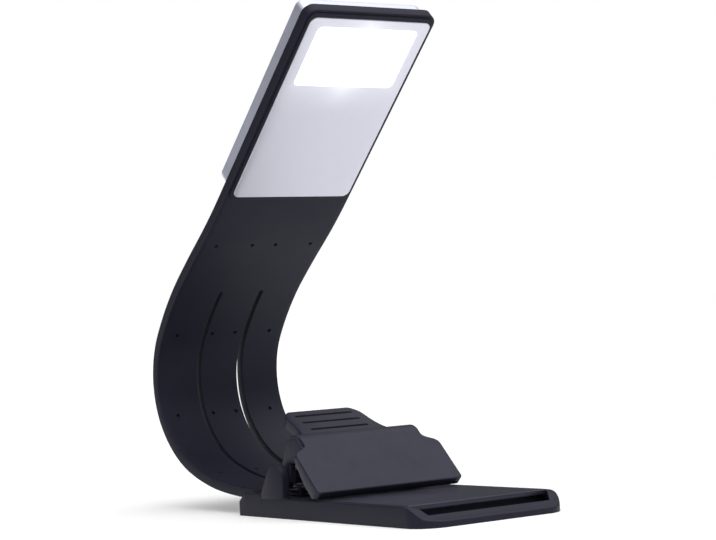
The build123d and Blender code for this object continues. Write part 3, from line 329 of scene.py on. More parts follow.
def rounded_outline(x0, x1, half_width, radius, steps=8):
    """Rounded rectangle as four quarter circles of equal steps joined by straights."""
    angle = np.linspace(0.0, math.pi / 2, steps + 1)[None, :] + (math.pi / 2) * np.arange(4)[:, None]
    cx = np.array([x1 - radius, x0 + radius, x0 + radius, x1 - radius])[:, None]
    cy = np.array([1, 1, -1, -1])[:, None] * (half_width - radius)
    return np.stack([cx + radius * np.cos(angle), cy + radius * np.sin(angle)], -1).reshape(-1, 2)


def level(box, inset, z):
    """One ring of a slab: the rounded rectangle box drawn in by an inset, at a height."""
    x0, x1, half_width, radius = box
    plan = rounded_outline(x0 + inset, x1 - inset, half_width - inset, max(radius - inset, 0.04))
    return np.column_stack([plan, np.full(len(plan), z)])


def rounded_levels(box, z0, z1, edge, steps=4):
    """Rings round the edge at z1 of a slab: inset e (1 - cos a), height z1 - (1 - sin a) e towards z0."""
    side = 1 if z1 > z0 else -1
    return [level(box, edge * inset, z1 - side * edge * fall) for inset, fall in quarter_turn(steps)]


# Solids as (points, faces)
def ring_solid(rings, closed=False):
    """Skin over rings of equal counts: quads between neighbours, and a flat end on the first and
    last ring, or quads from the last back to the first where closed."""
    rings = np.asarray(rings, float)
    rows, columns = rings.shape[:2]
    i, j = np.meshgrid(np.arange(rows if closed else rows - 1), np.arange(columns), indexing="ij")
    below, beside = (i + 1) % rows, (j + 1) % columns
    corners = [i * columns + j, i * columns + beside, below * columns + beside, below * columns + j]
    faces = np.stack(corners, -1).reshape(-1, 4).tolist()
    if not closed:
        faces.append(list(range(columns))[::-1])
        faces.append(list(range((rows - 1) * columns, rows * columns)))
    return rings.reshape(-1, 3), faces


def shell(front, back, keep):
    """Solid between two grids of points: both grids' quads where keep holds, and a wall wherever
    a kept cell has no kept neighbour."""
    rows, columns = front.shape[:2]
    near = np.arange(rows * columns).reshape(rows, columns)
    far = near + rows * columns
    i, j = np.nonzero(keep)
    faces = [np.stack([g[i, j], g[i + 1, j], g[i + 1, j + 1], g[i, j + 1]], -1) for g in (near, far)]
    bordered = np.pad(keep, 1)
    for di, dj, (a, b), (c, d) in (
        (-1, 0, (0, 0), (0, 1)), (1, 0, (1, 0), (1, 1)), (0, -1, (0, 0), (1, 0)), (0, 1, (0, 1), (1, 1)),
    ):
        beyond = bordered[1 + di:rows + di, 1 + dj:columns + dj]
        i, j = np.nonzero(keep & ~beyond)
        wall = [near[i + a, j + b], near[i + c, j + d], far[i + c, j + d], far[i + a, j + b]]
        faces.append(np.stack(wall, -1))
    return np.concatenate([front.reshape(-1, 3), back.reshape(-1, 3)]), np.concatenate(faces).tolist()


def drawn_in(outline, distance):
    """Outline with each corner moved inwards along the bisector of its edges, by
    distance / cos(half turn)."""
    edge = np.roll(outline, -1, 0) - outline
    edge = edge / np.linalg.norm(edge, axis=1, keepdims=True)
    after = np.roll(outline, -1, 0)
    area = np.sum(outline[:, 0] * after[:, 1] - after[:, 0] * outline[:, 1])
    normal = np.stack([-edge[:, 1], edge[:, 0]], -1) * np.sign(area)
    both = normal + np.roll(normal, 1, 0)
    both = both / np.linalg.norm(both, axis=1, keepdims=True)
    cosine = np.sum(both * normal, axis=1, keepdims=True)
    return outline + both * distance / np.maximum(cosine, 0.5)


def side_slab(outline, y0, y1, edge, steps=3):
    """Plate with a side view in (X, Z), from y0 to y1, its two faces' edges rounded as quarter circles."""
    outline = np.asarray(outline, float)
    turn = quarter_turn(steps)
    rings = []
    for y, way, pairs in ((y0, 1, turn), (y1, -1, turn[::-1])):
        for inwards, inset in pairs:
            flat = drawn_in(outline, edge * inset)
            rings.append(np.insert(flat, 1, y + way * edge * inwards, axis=1))
    return ring_solid(rings)


def both_sides(solid):
    """The solid and its mirror image across the light's middle plane."""
    points, faces = solid
    return [solid, (points * [1, -1, 1], [face[::-1] for face in faces])]


def with_mirror(across, height):
    """Half sections, one in each row, followed by their mirror image backwards."""
    return np.concatenate([across, -across[:, ::-1]], 1), np.concatenate([height, height[:, ::-1]], 1)


def box_across(x0, x1, y0, y1, z0, z1, edge):
    """Upright box with rounded corners in plan and a rounded top."""
    box = (x0, x1, (y1 - y0) / 2, 2 * edge)
    rings = np.array([level(box, 0.0, z0)] + rounded_levels(box, z0, z1, edge))
    return ring_solid(rings + [0, (y0 + y1) / 2, 0])


def rod_across(x, z, half_length, radius, steps=32):
    """Round bar along Y."""
    flat = circle_points((x, z), radius, np.linspace(0.0, 2 * math.pi, steps, endpoint=False))
    return ring_solid([np.insert(flat, 1, y, axis=1) for y in (-half_length, half_length)])


def new_object(name, data):
    """Object with this data, linked into the scene."""
    made = bpy.data.objects.new(name, data)
    bpy.context.scene.collection.objects.link(made)
    return made


def add_piece(name, solids, material, body=None, replaces=(), crease=40.0):
    """Mesh object from one or more solids in millimetres, with doubles merged and faces turned outwards."""
    points, faces, start = [], [], 0
    for solid_points, solid_faces in solids:
        points.append(solid_points)
        faces.extend([[k + start for k in face] for face in solid_faces])
        start += len(solid_points)
    mesh = bpy.data.meshes.new(name)
    mesh.from_pydata((np.concatenate(points) * MM).tolist(), [], faces)
    work = bmesh.new()
    work.from_mesh(mesh)
    bmesh.ops.remove_doubles(work, verts=work.verts, dist=2e-6)
    bmesh.ops.dissolve_degenerate(work, dist=1e-6, edges=work.edges)
    bmesh.ops.recalc_face_normals(work, faces=work.faces)
    work.to_mesh(mesh)
    work.free()
    mesh.shade_smooth()
    mesh.set_sharp_from_angle(angle=math.radians(crease))
    piece = new_object(name, mesh)
    mesh.materials.append(material)
    if body:
        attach(piece, body)
    if replaces:
        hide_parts(*replaces)
    return piece


# The bendable sheet
def sheet_lines():
    """Lines across the sheet: close together at its edges, at the slits' edges and over the pits."""
    groups = [EDGE_LINES - ARM_HALF_WIDTH, ARM_HALF_WIDTH - EDGE_LINES, OPEN_LINES]
    for y0, y1, *_ in SLITS:
        groups += [y0 - SLIT_LINES, y1 + SLIT_LINES]
    return merge_lines(*groups, *both_ways(PIT_ACROSS, PIT_LINES))


def sheet_stations(first, last):
    """Stations along one length of skin, close together over pits, slit ends and the head's tip."""
    groups = [np.arange(first, min(last, ARM_LENGTH) + 0.01, 1.0), np.array([first, last])]
    groups += both_ways(PIT_STATIONS, PIT_LINES)
    for *_, halves in SLITS:
        tip = SLIT_END + halves[-1]
        groups += [tip - corner_steps(halves[-1], 7), tip + np.array([0.05, 0.12, 0.2, 0.5])]
    if last > ARM_LENGTH:
        groups += [np.arange(ARM_LENGTH, last, 4.0), ARM_LENGTH + np.array(CHAMBER[:2])]
        groups += [last - corner_steps(HEAD_CORNER, 11), last - EDGE_LINES]
    return merge_lines(*[g[(g >= first) & (g <= last)] for g in groups])


def kept_cells(along, lines):
    """Cells of the sheet's grid that are solid: outside the slits and the head's light chamber."""
    s = ((along[:-1] + along[1:]) / 2)[:, None]
    y = ((lines[:-1] + lines[1:]) / 2)[None, :]
    keep = np.ones((len(along) - 1, len(lines) - 1), bool)
    for y0, y1, *_, halves in SLITS:
        keep &= ~((y > y0) & (y < y1) & (s < SLIT_END + halves[-1]))
    x0, x1, half_width, _ = CHAMBER
    keep &= ~((s > ARM_LENGTH + x0) & (s < ARM_LENGTH + x1) & (np.abs(y) < half_width))
    return keep


def slit_shape(stations, middles, halves):
    """Middle line, half width and open half width of a slit along the sheet: r up to its end,
    sqrt(r^2 - s^2) round it, closed at the tip, and past it parted again only to keep the grid open."""
    middle = smooth_curve(SLIT_KNOTS, middles, stations)
    radius = smooth_curve(SLIT_KNOTS, halves, stations)
    past = stations - SLIT_END
    round_end = np.sqrt(np.clip(radius ** 2 - np.clip(past, 0, None) ** 2, 0, None))
    return middle, radius, np.where(past < radius, round_end, np.minimum(0.3, 0.5 * (past - radius)))


def open_slits(s, y):
    """Moves the lines beside each slit to its real edges, stiffly near the edge and by scaling further
    out, and gives every point's distance from the nearest slit."""
    to_slit = np.full_like(s, ARM_LENGTH)
    for y0, y1, low_reach, high_reach, middles, halves in SLITS:
        middle, radius, gap = slit_shape(s, middles, halves)
        nominal = y
        for side, border, reach in ((-1, y0, low_reach), (1, y1, high_reach)):
            away = (nominal - border) * side
            start = middle + side * gap
            room = (border + side * reach - start) * side
            scaled = SLIT_STIFF + (away - SLIT_STIFF) * (room - SLIT_STIFF) / (reach - SLIT_STIFF)
            moved = start + side * np.where(away < SLIT_STIFF, away, scaled)
            y = np.where((away > -1e-6) & (away < reach), moved, y)
        past = np.clip(s - SLIT_END, 0, None)
        to_slit = np.minimum(to_slit, np.hypot(past, y - middle) - radius)
    return y, to_slit


def round_tip(s, y):
    """Draws the lines beyond the light chamber in to the head's far corners, where the half width is
    w - r + sqrt(r^2 - d^2)."""
    bound = CHAMBER[2]
    into = np.clip(s - (ARM_LENGTH + HEAD_LENGTH - HEAD_CORNER), 0, HEAD_CORNER)
    outer = ARM_HALF_WIDTH - HEAD_CORNER + np.sqrt(HEAD_CORNER ** 2 - into ** 2)
    squeezed = bound + (np.abs(y) - bound) * (outer - bound) / (ARM_HALF_WIDTH - bound)
    return np.where(np.abs(y) > bound, np.sign(y) * squeezed, y)


def to_outline(s, y):
    """Distance inwards from the outline of sheet and head, a strip with two round corners at its tip."""
    along = s - (ARM_LENGTH + HEAD_LENGTH - HEAD_CORNER)
    across = np.abs(y) - (ARM_HALF_WIDTH - HEAD_CORNER)
    beyond = np.hypot(np.clip(along, 0, None), np.clip(across, 0, None))
    return HEAD_CORNER - beyond - np.minimum(np.maximum(along, across), 0)


def sink_pits(s, y):
    """Turns the squares of the grid round each pit into circles, and gives how far each point is sunk,
    from 0 to 1."""
    sunk = np.zeros_like(s)
    for station in PIT_STATIONS:
        for centre in PIT_ACROSS:
            ds, dy = s - station, y - centre
            square = np.maximum(np.abs(ds), np.abs(dy))
            share = np.clip((PIT_REACH - square) / PIT_BLEND, 0, 1)
            scale = 1 - share + share * square / np.maximum(np.hypot(ds, dy), 1e-9)
            s, y = station + ds * scale, centre + dy * scale
            sunk = np.maximum(sunk, np.clip((PIT_RADIUS - square) / PIT_WALL, 0, 1))
    return s, y, sunk


def sheet_skin(first, last):
    """Sheet between two stations: the front and back are grids over station s and distance across y,
    at plus and minus half the thickness less the edge drop, with pits as discs sunk into the front."""
    along, lines = sheet_stations(first, last), sheet_lines()
    s, y = np.meshgrid(along, lines, indexing="ij")
    y, to_slit = open_slits(s, y)
    y = round_tip(s, y)
    to_edge = to_outline(s, y)
    rounding = np.where(to_slit < to_edge, SLIT_EDGE, sizes().sheet_edge / MM)
    drop = edge_drop(np.clip(np.minimum(to_slit, to_edge), 0, None), rounding)
    s, y, sunk = sink_pits(s, y)
    front = arm_points(s, y, drop + sunk * sizes().pit_depth / MM - ARM_HALF_THICKNESS)
    back = arm_points(s, y, ARM_HALF_THICKNESS - drop)
    return shell(front, back, kept_cells(along, lines))


def arm_place(station):
    """A point of the sheet's middle line, in metres."""
    return tuple((arm_points(np.array([station]), 0.0, 0.0)[0] * MM).tolist())


class LIGHT_OT_arm_skin(bpy.types.Operator):
    """Make the bendable sheet in four lengths, each reaching over one joint"""

    bl_idname = "light.arm_skin"
    bl_label = "Arm skin"

    def execute(self, context):
        for name, (below, above, first, last, start, end, nodes) in SKINS.items():
            solids = [sheet_skin(first, last)]
            skin = add_piece(name, solids, finish("silicone"), replaces=nodes)
            arm_place(start)
            arm_place(end)
            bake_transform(skin)
        return {"FINISHED"}


# The head
class LIGHT_OT_head_front(bpy.types.Operator):
    """Make the raised border of the head and the silver front plate with its window opening"""

    bl_idname = "light.head_front"
    bl_label = "Head front"

    def execute(self, context):
        border = [level(PLATFORM, 0.0, BORDER_BOTTOM)]
        border += rounded_levels(PLATFORM, SHEET_FRONT, PLATFORM_FRONT, BORDER_EDGE)
        border += [level(PLATE_SEAT, 0.0, PLATFORM_FRONT), level(PLATE_SEAT, 0.0, PLATE_BACK)]
        border += [level(CHAMBER, 0.0, PLATE_BACK), level(CHAMBER, 0.0, BORDER_BOTTOM)]
        add_piece("head_border", [self.placed(border)], finish("silicone"), body="head")
        plate = [level(FRONT_PLATE, 0.0, PLATE_BACK)]
        plate += rounded_levels(FRONT_PLATE, PLATE_BACK, PLATE_FACE, sizes().plate_bevel / MM)
        plate += [level(WINDOW, -WINDOW_EDGE, PLATE_FACE), level(WINDOW, 0.0, PLATE_FACE + WINDOW_EDGE)]
        plate += [level(WINDOW, 0.0, PLATE_BACK)]
        # The plate's finish carries a painted glow round the window, standing in for the window's spilled
        # light
        add_piece("silver_front_plate", [self.placed(plate)], finish("front_silver_painted_glow"), body="head",
                  replaces=["front_plate"])
        return {"FINISHED"}

    def placed(self, rings):
        """Closed skin over rings drawn in the head's frame, set at the head's place."""
        points, faces = ring_solid(rings, closed=True)
        return head_points(points), faces


# The clip base
def base_rim_height(x):
    """Top of the rims along X: a back slope, flat walls, and the sweep down to the front edge."""
    share = np.clip((BACK_SLOPE_START - x) / (BASE_HALF_LENGTH + BACK_SLOPE_START), 0, 1)
    slope = BASE_REAR_TOP - (BASE_REAR_TOP - BACK_SLOPE_END_HEIGHT) * share
    return np.where(x < EAR_BACK, slope, smooth_curve(*RIM_SWEEP, x))


def base_floor_height(x):
    """Top between the rims along X: the arm's seat, pedestal, tray, front rib, trough and lip."""
    rim = base_rim_height(x)
    sections = [x < PEDESTAL[0], x < PEDESTAL[1], x < FRONT_RIB[0], x < FRONT_RIB[1]]
    tops = [np.minimum(SEAT_TOP, rim), PEDESTAL_TOP + 0 * x, TRAY_FLOOR + 0 * x, FRONT_RIB_TOP + 0 * x]
    return np.select(sections, tops, np.minimum(smooth_curve(*TROUGH_AND_LIP, x), rim))


def base_half_width(x):
    """Half width of the plan along X: w - r + sqrt(r^2 - d^2), for d into a corner of radius r."""
    into_rear = np.clip(BASE_REAR_CORNER - BASE_HALF_LENGTH - x, 0, BASE_REAR_CORNER)
    into_front = np.clip(x - BASE_HALF_LENGTH + BASE_FRONT_CORNER, 0, BASE_FRONT_CORNER)
    rear = np.sqrt(BASE_REAR_CORNER ** 2 - into_rear ** 2) - BASE_REAR_CORNER
    front = np.sqrt(BASE_FRONT_CORNER ** 2 - into_front ** 2) - BASE_FRONT_CORNER
    return BASE_HALF_WIDTH + np.minimum(rear, front)


def base_inner_width(x, outer):
    """Half width between the rims along X: narrower at the ears, and in front the rims spread inwards
    along the round corners."""
    at_ears = (x > PEDESTAL[0]) & (x < PEDESTAL[1])
    straight = np.minimum(np.where(at_ears, EAR_INNER, RIM_INNER), outer - RIM_THINNEST)
    spread = BASE_HALF_WIDTH - RIM_INNER + smooth_curve(*RIM_SPREAD, x)
    return np.where(x > RIM_SPREAD[0][0], outer - spread, straight)


def base_hollow(x):
    """Hollow from below along X, as its half width, its ceiling, and its ceiling at the middle: the
    pad's recess with round corners, and two rear pockets with a rib between them."""
    x0, x1, half_width, radius = PAD_RECESS
    padded = (x > x0) & (x < x1)
    pocket = (x > REAR_POCKETS[0]) & (x < REAR_POCKETS[1])
    into = radius - np.clip(np.minimum(x - x0, x1 - x), 0, radius)
    pad_edge = half_width - radius + np.sqrt(np.clip(radius ** 2 - into ** 2, 0, None))
    edge = np.select([pocket, padded], [POCKET_ACROSS[1] + 0 * x, pad_edge], 18.0)
    middle = np.where(padded, PAD_DEPTH, 0.0)
    return edge, np.where(pocket, POCKET_DEPTH, middle), middle


def base_stations():
    """Places of the base's cross-sections along X, close together where its height or plan changes."""
    steps = np.array([*REAR_POCKETS, *PEDESTAL, *PAD_RECESS[:2], EAR_BACK, *FRONT_RIB])
    return merge_lines(
        corner_steps(BASE_REAR_CORNER, 7) - BASE_HALF_LENGTH,
        np.array([0.0, 0.1, 0.3]) - BASE_HALF_LENGTH,
        np.arange(-52, 43, 3.0),
        steps - 0.03, steps + 0.03,
        BACK_SLOPE_START + np.array([-0.6, -0.3, 0.0, 0.3, 0.6]),
        PAD_RECESS[0] + corner_steps(PAD_RECESS[3], 7),
        PAD_RECESS[1] - corner_steps(PAD_RECESS[3], 7),
        np.linspace(43.4, 52.0, 36),
        BASE_HALF_LENGTH - corner_steps(BASE_FRONT_CORNER, 16),
        BASE_HALF_LENGTH - np.array([0.3, 0.12, 0.04]),
    )


def base_rings(edge):
    """Cross-sections of the base across Y, one at each X: a U with rounded rims round the floor,
    and underneath a recess for the pad or the two rear pockets."""
    x = base_stations()
    outer = base_half_width(x)
    inner = base_inner_width(x, outer)
    rim = base_rim_height(x) - edge_drop(BASE_HALF_LENGTH - np.abs(x), edge)
    floor = np.minimum(base_floor_height(x), rim)
    soft = np.minimum(edge, (outer - inner) / 2.02)
    hollow, ceiling, middle = base_hollow(x)
    rib = POCKET_ACROSS[0]
    arc = quarter_turn(4)
    half = [(0, middle), (rib, middle), (rib, ceiling), (hollow, ceiling), (hollow, 0)]
    half += [(outer - BASE_FOOT_EDGE * b, BASE_FOOT_EDGE * a) for a, b in arc]
    half += [(outer - soft * a, rim - soft * b) for a, b in arc]
    half += [(inner + soft * b, np.maximum(rim - soft * a, floor)) for a, b in arc]
    half += [(inner, floor), (inner - 0.5, floor), (inner * 0.5, floor)]
    across, height = [np.stack([point[k] + 0 * x for point in half], -1) for k in (0, 1)]
    across, height = with_mirror(across, height)
    return np.stack([x[:, None] + 0 * across, across, height], -1)


def ear_outline():
    """Side view of a pivot ear: a straight back that touches the round top, an upright front and a
    small toe."""
    back, rise = EAR_BACK - PIVOT[0], BASE_REAR_TOP - PIVOT[1]
    touch = 2 * math.pi + math.atan2(rise, back) - math.acos(EAR_RADIUS / math.hypot(back, rise))
    top = circle_points(PIVOT, EAR_RADIUS, np.linspace(touch, 0.0, 25))
    centre = (EAR_FRONT + EAR_TOE_RADIUS, BASE_TOP + EAR_TOE_RADIUS)
    toe = circle_points(centre, EAR_TOE_RADIUS, np.linspace(math.pi, 1.5 * math.pi, 6))
    sunk = BASE_TOP - 1.0
    return np.concatenate([top, toe, [(centre[0], sunk), (EAR_BACK, sunk), (EAR_BACK, BASE_REAR_TOP)]])


class LIGHT_OT_clip_base(bpy.types.Operator):
    """Make the clip's tray with rims, ears, trough and lip, and its top plate"""

    bl_idname = "light.clip_base"
    bl_label = "Clip base"

    def execute(self, context):
        edge = sizes().mould_edge / MM
        solids = [ring_solid(base_rings(edge))]
        solids += both_sides(side_slab(ear_outline(), EAR_INNER, BASE_HALF_WIDTH, edge))
        solids += both_sides(box_across(*SPRING_POST))
        add_piece("clip_base_moulding", solids, finish("clip"), body="clip", replaces=["clip_base"])
        bottom, top = TOP_PLATE_HEIGHTS
        rings = rounded_levels(TOP_PLATE, top, bottom, 0.2)[::-1]
        rings += rounded_levels(TOP_PLATE, bottom, top, 0.4)
        add_piece("clip_top_plate", [ring_solid(rings)], finish("plate"), body="clip",
                  replaces=["base_top_plate"])
        return {"FINISHED"}


# The jaw with its thumb lever
def unit(start, end):
    """Direction from one point of the side view to another."""
    way = np.array(end) - np.array(start)
    return way / np.linalg.norm(way)


def jaw_parts():
    """Lengths and turns of the straights and arcs along the top of the lever, foot, ridge and jaw. An
    arc of radius r and turn t touches both straights at r tan(t / 2) from their corner."""
    corners = [np.array(p) for p in (LEVER_TIP, LEVER_FOOT, RIDGE, JAW_EDGE)]
    ways = [unit(a, b) for a, b in zip(corners[:-1], corners[1:])]
    turns = [math.atan2(a[0] * b[1] - a[1] * b[0], a @ b) for a, b in zip(ways[:-1], ways[1:])]
    radii = (FOOT_RADIUS, RIDGE_RADIUS)
    cuts = [0.0, *[r * math.tan(abs(t) / 2) for r, t in zip(radii, turns)], 0.0]
    spans = [np.linalg.norm(b - a) for a, b in zip(corners[:-1], corners[1:])]
    parts = [(spans[0] - cuts[0] - cuts[1], 0.0)]
    for k, (radius, turn) in enumerate(zip(radii, turns)):
        parts += [(radius * abs(turn), turn), (spans[k + 1] - cuts[k + 1] - cuts[k + 2], 0.0)]
    return parts


def jaw_run(stations):
    """Points and outward normals at stations along the jaw's top, and its whole length: X grows by
    r (sin h - sin h0) and Z by r (cos h0 - cos h) on an arc, and straight along the heading between."""
    first = unit(LEVER_TIP, LEVER_FOOT)
    point, angle, begun = np.array(LEVER_TIP), math.atan2(first[1], first[0]), 0.0
    position = np.zeros(stations.shape + (2,))
    normal = np.zeros(stations.shape + (2,))
    for length, turn in jaw_parts():
        done = np.append(np.clip(stations - begun, 0, length), length)
        heading = angle + turn * done / length
        if turn:
            swing = [np.sin(heading) - math.sin(angle), math.cos(angle) - np.cos(heading)]
            moved = point + np.stack(swing, -1) * length / turn
        else:
            moved = point + done[:, None] * [math.cos(angle), math.sin(angle)]
        here = stations >= begun
        position[here] = moved[:-1][here]
        normal[here] = np.stack([-np.sin(heading), np.cos(heading)], -1)[:-1][here]
        point, angle, begun = moved[-1], angle + turn, begun + length
    return position, normal, begun


def jaw_half_width(lever_t, jaw_t, on_jaw):
    """Half width along the lever and the jaw, whose front corners are round."""
    length = np.linalg.norm(np.array(JAW_EDGE) - np.array(RIDGE))
    rounded = np.clip(jaw_t - (length - JAW_CORNER), 0, JAW_CORNER)
    jaw_half = smooth_curve(*JAW_WIDTHS, jaw_t) - JAW_CORNER + np.sqrt(JAW_CORNER ** 2 - rounded ** 2)
    return np.where(on_jaw, jaw_half, smooth_curve(*LEVER_WIDTHS, lever_t))


def jaw_top(across, half, to_end, lever_t, on_jaw):
    """Depth of the jaw's top under its run: the edge drop e - sqrt(e^2 - a^2 - b^2) towards the ends and
    sides, and the three slots sunk into the lever."""
    b = np.clip(across - (half - JAW_ROUNDING)[:, None], 0, JAW_ROUNDING)
    a = np.clip(JAW_ROUNDING - to_end, 0, JAW_ROUNDING)[:, None]
    left = JAW_ROUNDING ** 2 - np.clip(a ** 2 + b ** 2, 0, JAW_ROUNDING ** 2)
    depth = JAW_ROUNDING - np.sqrt(left)
    for station in GROOVE_STATIONS:
        past = np.clip(across - (GROOVE_HALF_LENGTH - GROOVE_HALF_WIDTH), 0, None)
        away = np.hypot(past, (lever_t - station)[:, None])
        sink = sizes().groove_depth / MM * np.clip((GROOVE_HALF_WIDTH + 0.04 - away) / GROOVE_WALL, 0, 1)
        depth = depth + np.where(on_jaw[:, None], 0.0, sink)
    return depth


def jaw_rings():
    """Cross-sections of the jaw along its run: a channel with a rounded top edge, whose half width and
    rim depth follow the run."""
    _, _, total = jaw_run(np.array([0.0]))
    grooves = both_ways(GROOVE_STATIONS, GROOVE_LINES)
    u = merge_lines(LEVER_END_LINES, np.arange(2.0, total - 2.0, 0.8), *grooves, total - JAW_END_LINES)
    position, normal, _ = jaw_run(u)
    lever_t = (position - np.array(LEVER_TIP)) @ unit(LEVER_TIP, LEVER_FOOT)
    jaw_t = (position - np.array(RIDGE)) @ unit(RIDGE, JAW_EDGE)
    on_jaw = jaw_t > RIDGE_START
    half = jaw_half_width(lever_t, jaw_t, on_jaw)
    rim = np.where(on_jaw, smooth_curve(*JAW_RIM, jaw_t), LEVER_RIM)
    to_end = np.minimum(u, total - u)
    ceiling = np.where(to_end < JAW_WALL, rim, JAW_THICKNESS)
    scale = np.minimum(1.0, (half - JAW_ROUNDING - 0.1) / LEVER_POINTS[-1])
    arc = np.linspace(0, math.pi / 2, 6)
    top = [t * scale for t in LEVER_POINTS] + [np.maximum(half - 2.5, (LEVER_POINTS[-1] + 0.1) * scale)]
    top += [half - JAW_ROUNDING + JAW_ROUNDING * math.sin(a) for a in arc]
    top = np.stack(top, -1)
    wall = half - JAW_WALL
    low = [(half, rim - JAW_RIM_ROUNDING), (half - 0.09, rim - 0.09), (half - JAW_RIM_ROUNDING, rim)]
    low += [(wall + 0.2, rim), (wall, np.maximum(rim - 0.2, ceiling)), (wall - 0.01, ceiling)]
    low += [(half * 0.4, ceiling)]
    low_across, low_depth = [np.stack([point[k] for point in low], -1) for k in (0, 1)]
    across = np.concatenate([top, low_across], 1)
    depth = np.concatenate([jaw_top(top, half, to_end, lever_t, on_jaw), low_depth], 1)
    across, depth = with_mirror(across, depth)
    side = position[:, None, :] - depth[..., None] * normal[:, None, :]
    return np.stack([side[..., 0], across, side[..., 1]], -1)


def under_jaw(t):
    """Point of the side view in the middle of the jaw's plate, at a length from the ridge."""
    way = unit(RIDGE, JAW_EDGE)
    down = JAW_THICKNESS / 2
    return (RIDGE[0] + way[0] * t + way[1] * down, RIDGE[1] + way[1] * t - way[0] * down)


def cheek_outline():
    """Side view of a cheek: from under the ridge down to a round boss on the pivot."""
    across, rise = CHEEK_TOP[0] - PIVOT[0], CHEEK_TOP[1] - PIVOT[1]
    touch = math.atan2(rise, across) + math.acos(BOSS_RADIUS / math.hypot(across, rise))
    boss = circle_points(PIVOT, BOSS_RADIUS, np.linspace(0.0, touch - 2 * math.pi, 25))
    step = PIVOT[1] + CHEEK_STEP
    start = [CHEEK_TOP, under_jaw(0.6), under_jaw(9.5), (CHEEK_FRONT, step), (PIVOT[0] + BOSS_RADIUS, step)]
    return np.concatenate([start, boss])


class LIGHT_OT_jaw(bpy.types.Operator):
    """Make the jaw with its shoulders, ridge, grooved thumb lever, cheeks, webs and hub"""

    bl_idname = "light.jaw"
    bl_label = "Jaw and thumb lever"

    def execute(self, context):
        web = [(PIVOT[0], PIVOT[1] + WEB_HALF_HEIGHT), under_jaw(3.0), under_jaw(14.0),
               (PIVOT[0], PIVOT[1] - WEB_HALF_HEIGHT)]
        solids = [ring_solid(jaw_rings())]
        solids += both_sides(side_slab(cheek_outline(), *CHEEK_ACROSS, CHEEK_EDGE))
        solids += both_sides(side_slab(web, *WEB_ACROSS, WEB_EDGE))
        solids.append(rod_across(*PIVOT, HUB_HALF_LENGTH, HUB_RADIUS))
        add_piece("jaw_moulding", solids, finish("jaw"), body="jaw", replaces=["clamp_jaw"])
        return {"FINISHED"}


# Finishes
BLACK_SHEEN = (0.80, 0.80, 1.0, 1.0)
# Reach and spot width of the painted glow, emission that stands in for the window's light on the front plate
PAINTED_GLOW_REACH = 14.0 * MM
PAINTED_GLOW_SPOT = 6.0 * MM


def new_finish(name, **values):
    """Empty material with a Principled shader whose sockets have these values."""
    made = bpy.data.materials.new(name)
    made.use_nodes = True
    shader = made.node_tree.nodes["Principled BSDF"]
    for socket, value in values.items():
        shader.inputs[socket.replace("_", " ")].default_value = value
    return made, made.node_tree, shader


def feed(tree, socket, value):
    """Links a socket to an output, or sets it to a plain value."""
    if isinstance(value, bpy.types.NodeSocket):
        tree.links.new(value, socket)
    else:
        socket.default_value = value


def node(tree, kind, **values):
    """Node of a kind, with its properties set and its sockets fed by name."""
    made = tree.nodes.new(kind)
    for key, value in values.items():
        if hasattr(made, key):
            setattr(made, key, value)
        else:
            feed(tree, made.inputs[key.replace("_", " ")], value)
    return made


def math_node(tree, operation, *values):
    """Result of one sum on sockets or numbers."""
    made = node(tree, "ShaderNodeMath", operation=operation)
    for socket, value in zip(made.inputs, values):
        feed(tree, socket, value)
    return made.outputs[0]


def object_place(tree):
    """The point on the object, in its own coordinates."""
    return node(tree, "ShaderNodeTexCoord").outputs["Object"]


def scaled(colour, share):
    """Colour scaled by one share, or by one for each channel."""
    return (np.array(colour) * share).tolist()


def mottle(tree, shader, colour, scale, spread, rough, rough_spread):
    """Slow noise that shifts the colour by a share of itself, and the roughness round its middle."""
    low, high = 0.3, 0.7
    place = object_place(tree)
    noise = node(tree, "ShaderNodeTexNoise", Vector=place, Scale=scale, Detail=8.0, Roughness=0.74)
    ramp = node(tree, "ShaderNodeValToRGB", Fac=noise.outputs["Fac"])
    dark, light = ramp.color_ramp.elements
    dark.position, light.position = low, high
    dark.color = (*scaled(colour, 1 - spread), 1)
    light.color = (*scaled(colour, 1 + spread), 1)
    span = node(tree, "ShaderNodeMapRange", Value=noise.outputs["Fac"], From_Min=low, From_Max=high,
                To_Min=rough - rough_spread, To_Max=rough + rough_spread)
    tree.links.new(ramp.outputs["Color"], shader.inputs["Base Color"])
    tree.links.new(span.outputs["Result"], shader.inputs["Roughness"])


def grain(tree, shader, scale, strength, distance, stretch=(1, 1, 1)):
    """Fine bump from noise, stretched by a scale along each axis."""
    mapping = node(tree, "ShaderNodeMapping", Vector=object_place(tree), Scale=stretch)
    place = mapping.outputs["Vector"]
    noise = node(tree, "ShaderNodeTexNoise", Vector=place, Scale=scale, Detail=3.0, Roughness=0.7)
    bump = node(tree, "ShaderNodeBump", Height=noise.outputs["Fac"], Strength=strength, Distance=distance)
    tree.links.new(bump.outputs["Normal"], shader.inputs["Normal"])


def moulded(name, colour, rough, specular, grain_scale, grain_strength, spread=0.12):
    """Moulded plastic or rubber: a mottled colour with an even fine grain."""
    made, tree, shader = new_finish(name, Specular_IOR_Level=specular, Specular_Tint=BLACK_SHEEN)
    mottle(tree, shader, colour, 60.0, spread, rough, 0.04)
    grain(tree, shader, grain_scale, grain_strength, 0.04 * MM)
    return made


def silver(name, colour, rough):
    """Anodised metal with a fine bright grain drawn across the head."""
    made, tree, shader = new_finish(name, Metallic=0.85)
    mottle(tree, shader, colour, 40.0, 0.03, rough, 0.03)
    grain(tree, shader, 900.0, 0.05, 0.03 * MM, stretch=(4, 0.25, 4))
    return made


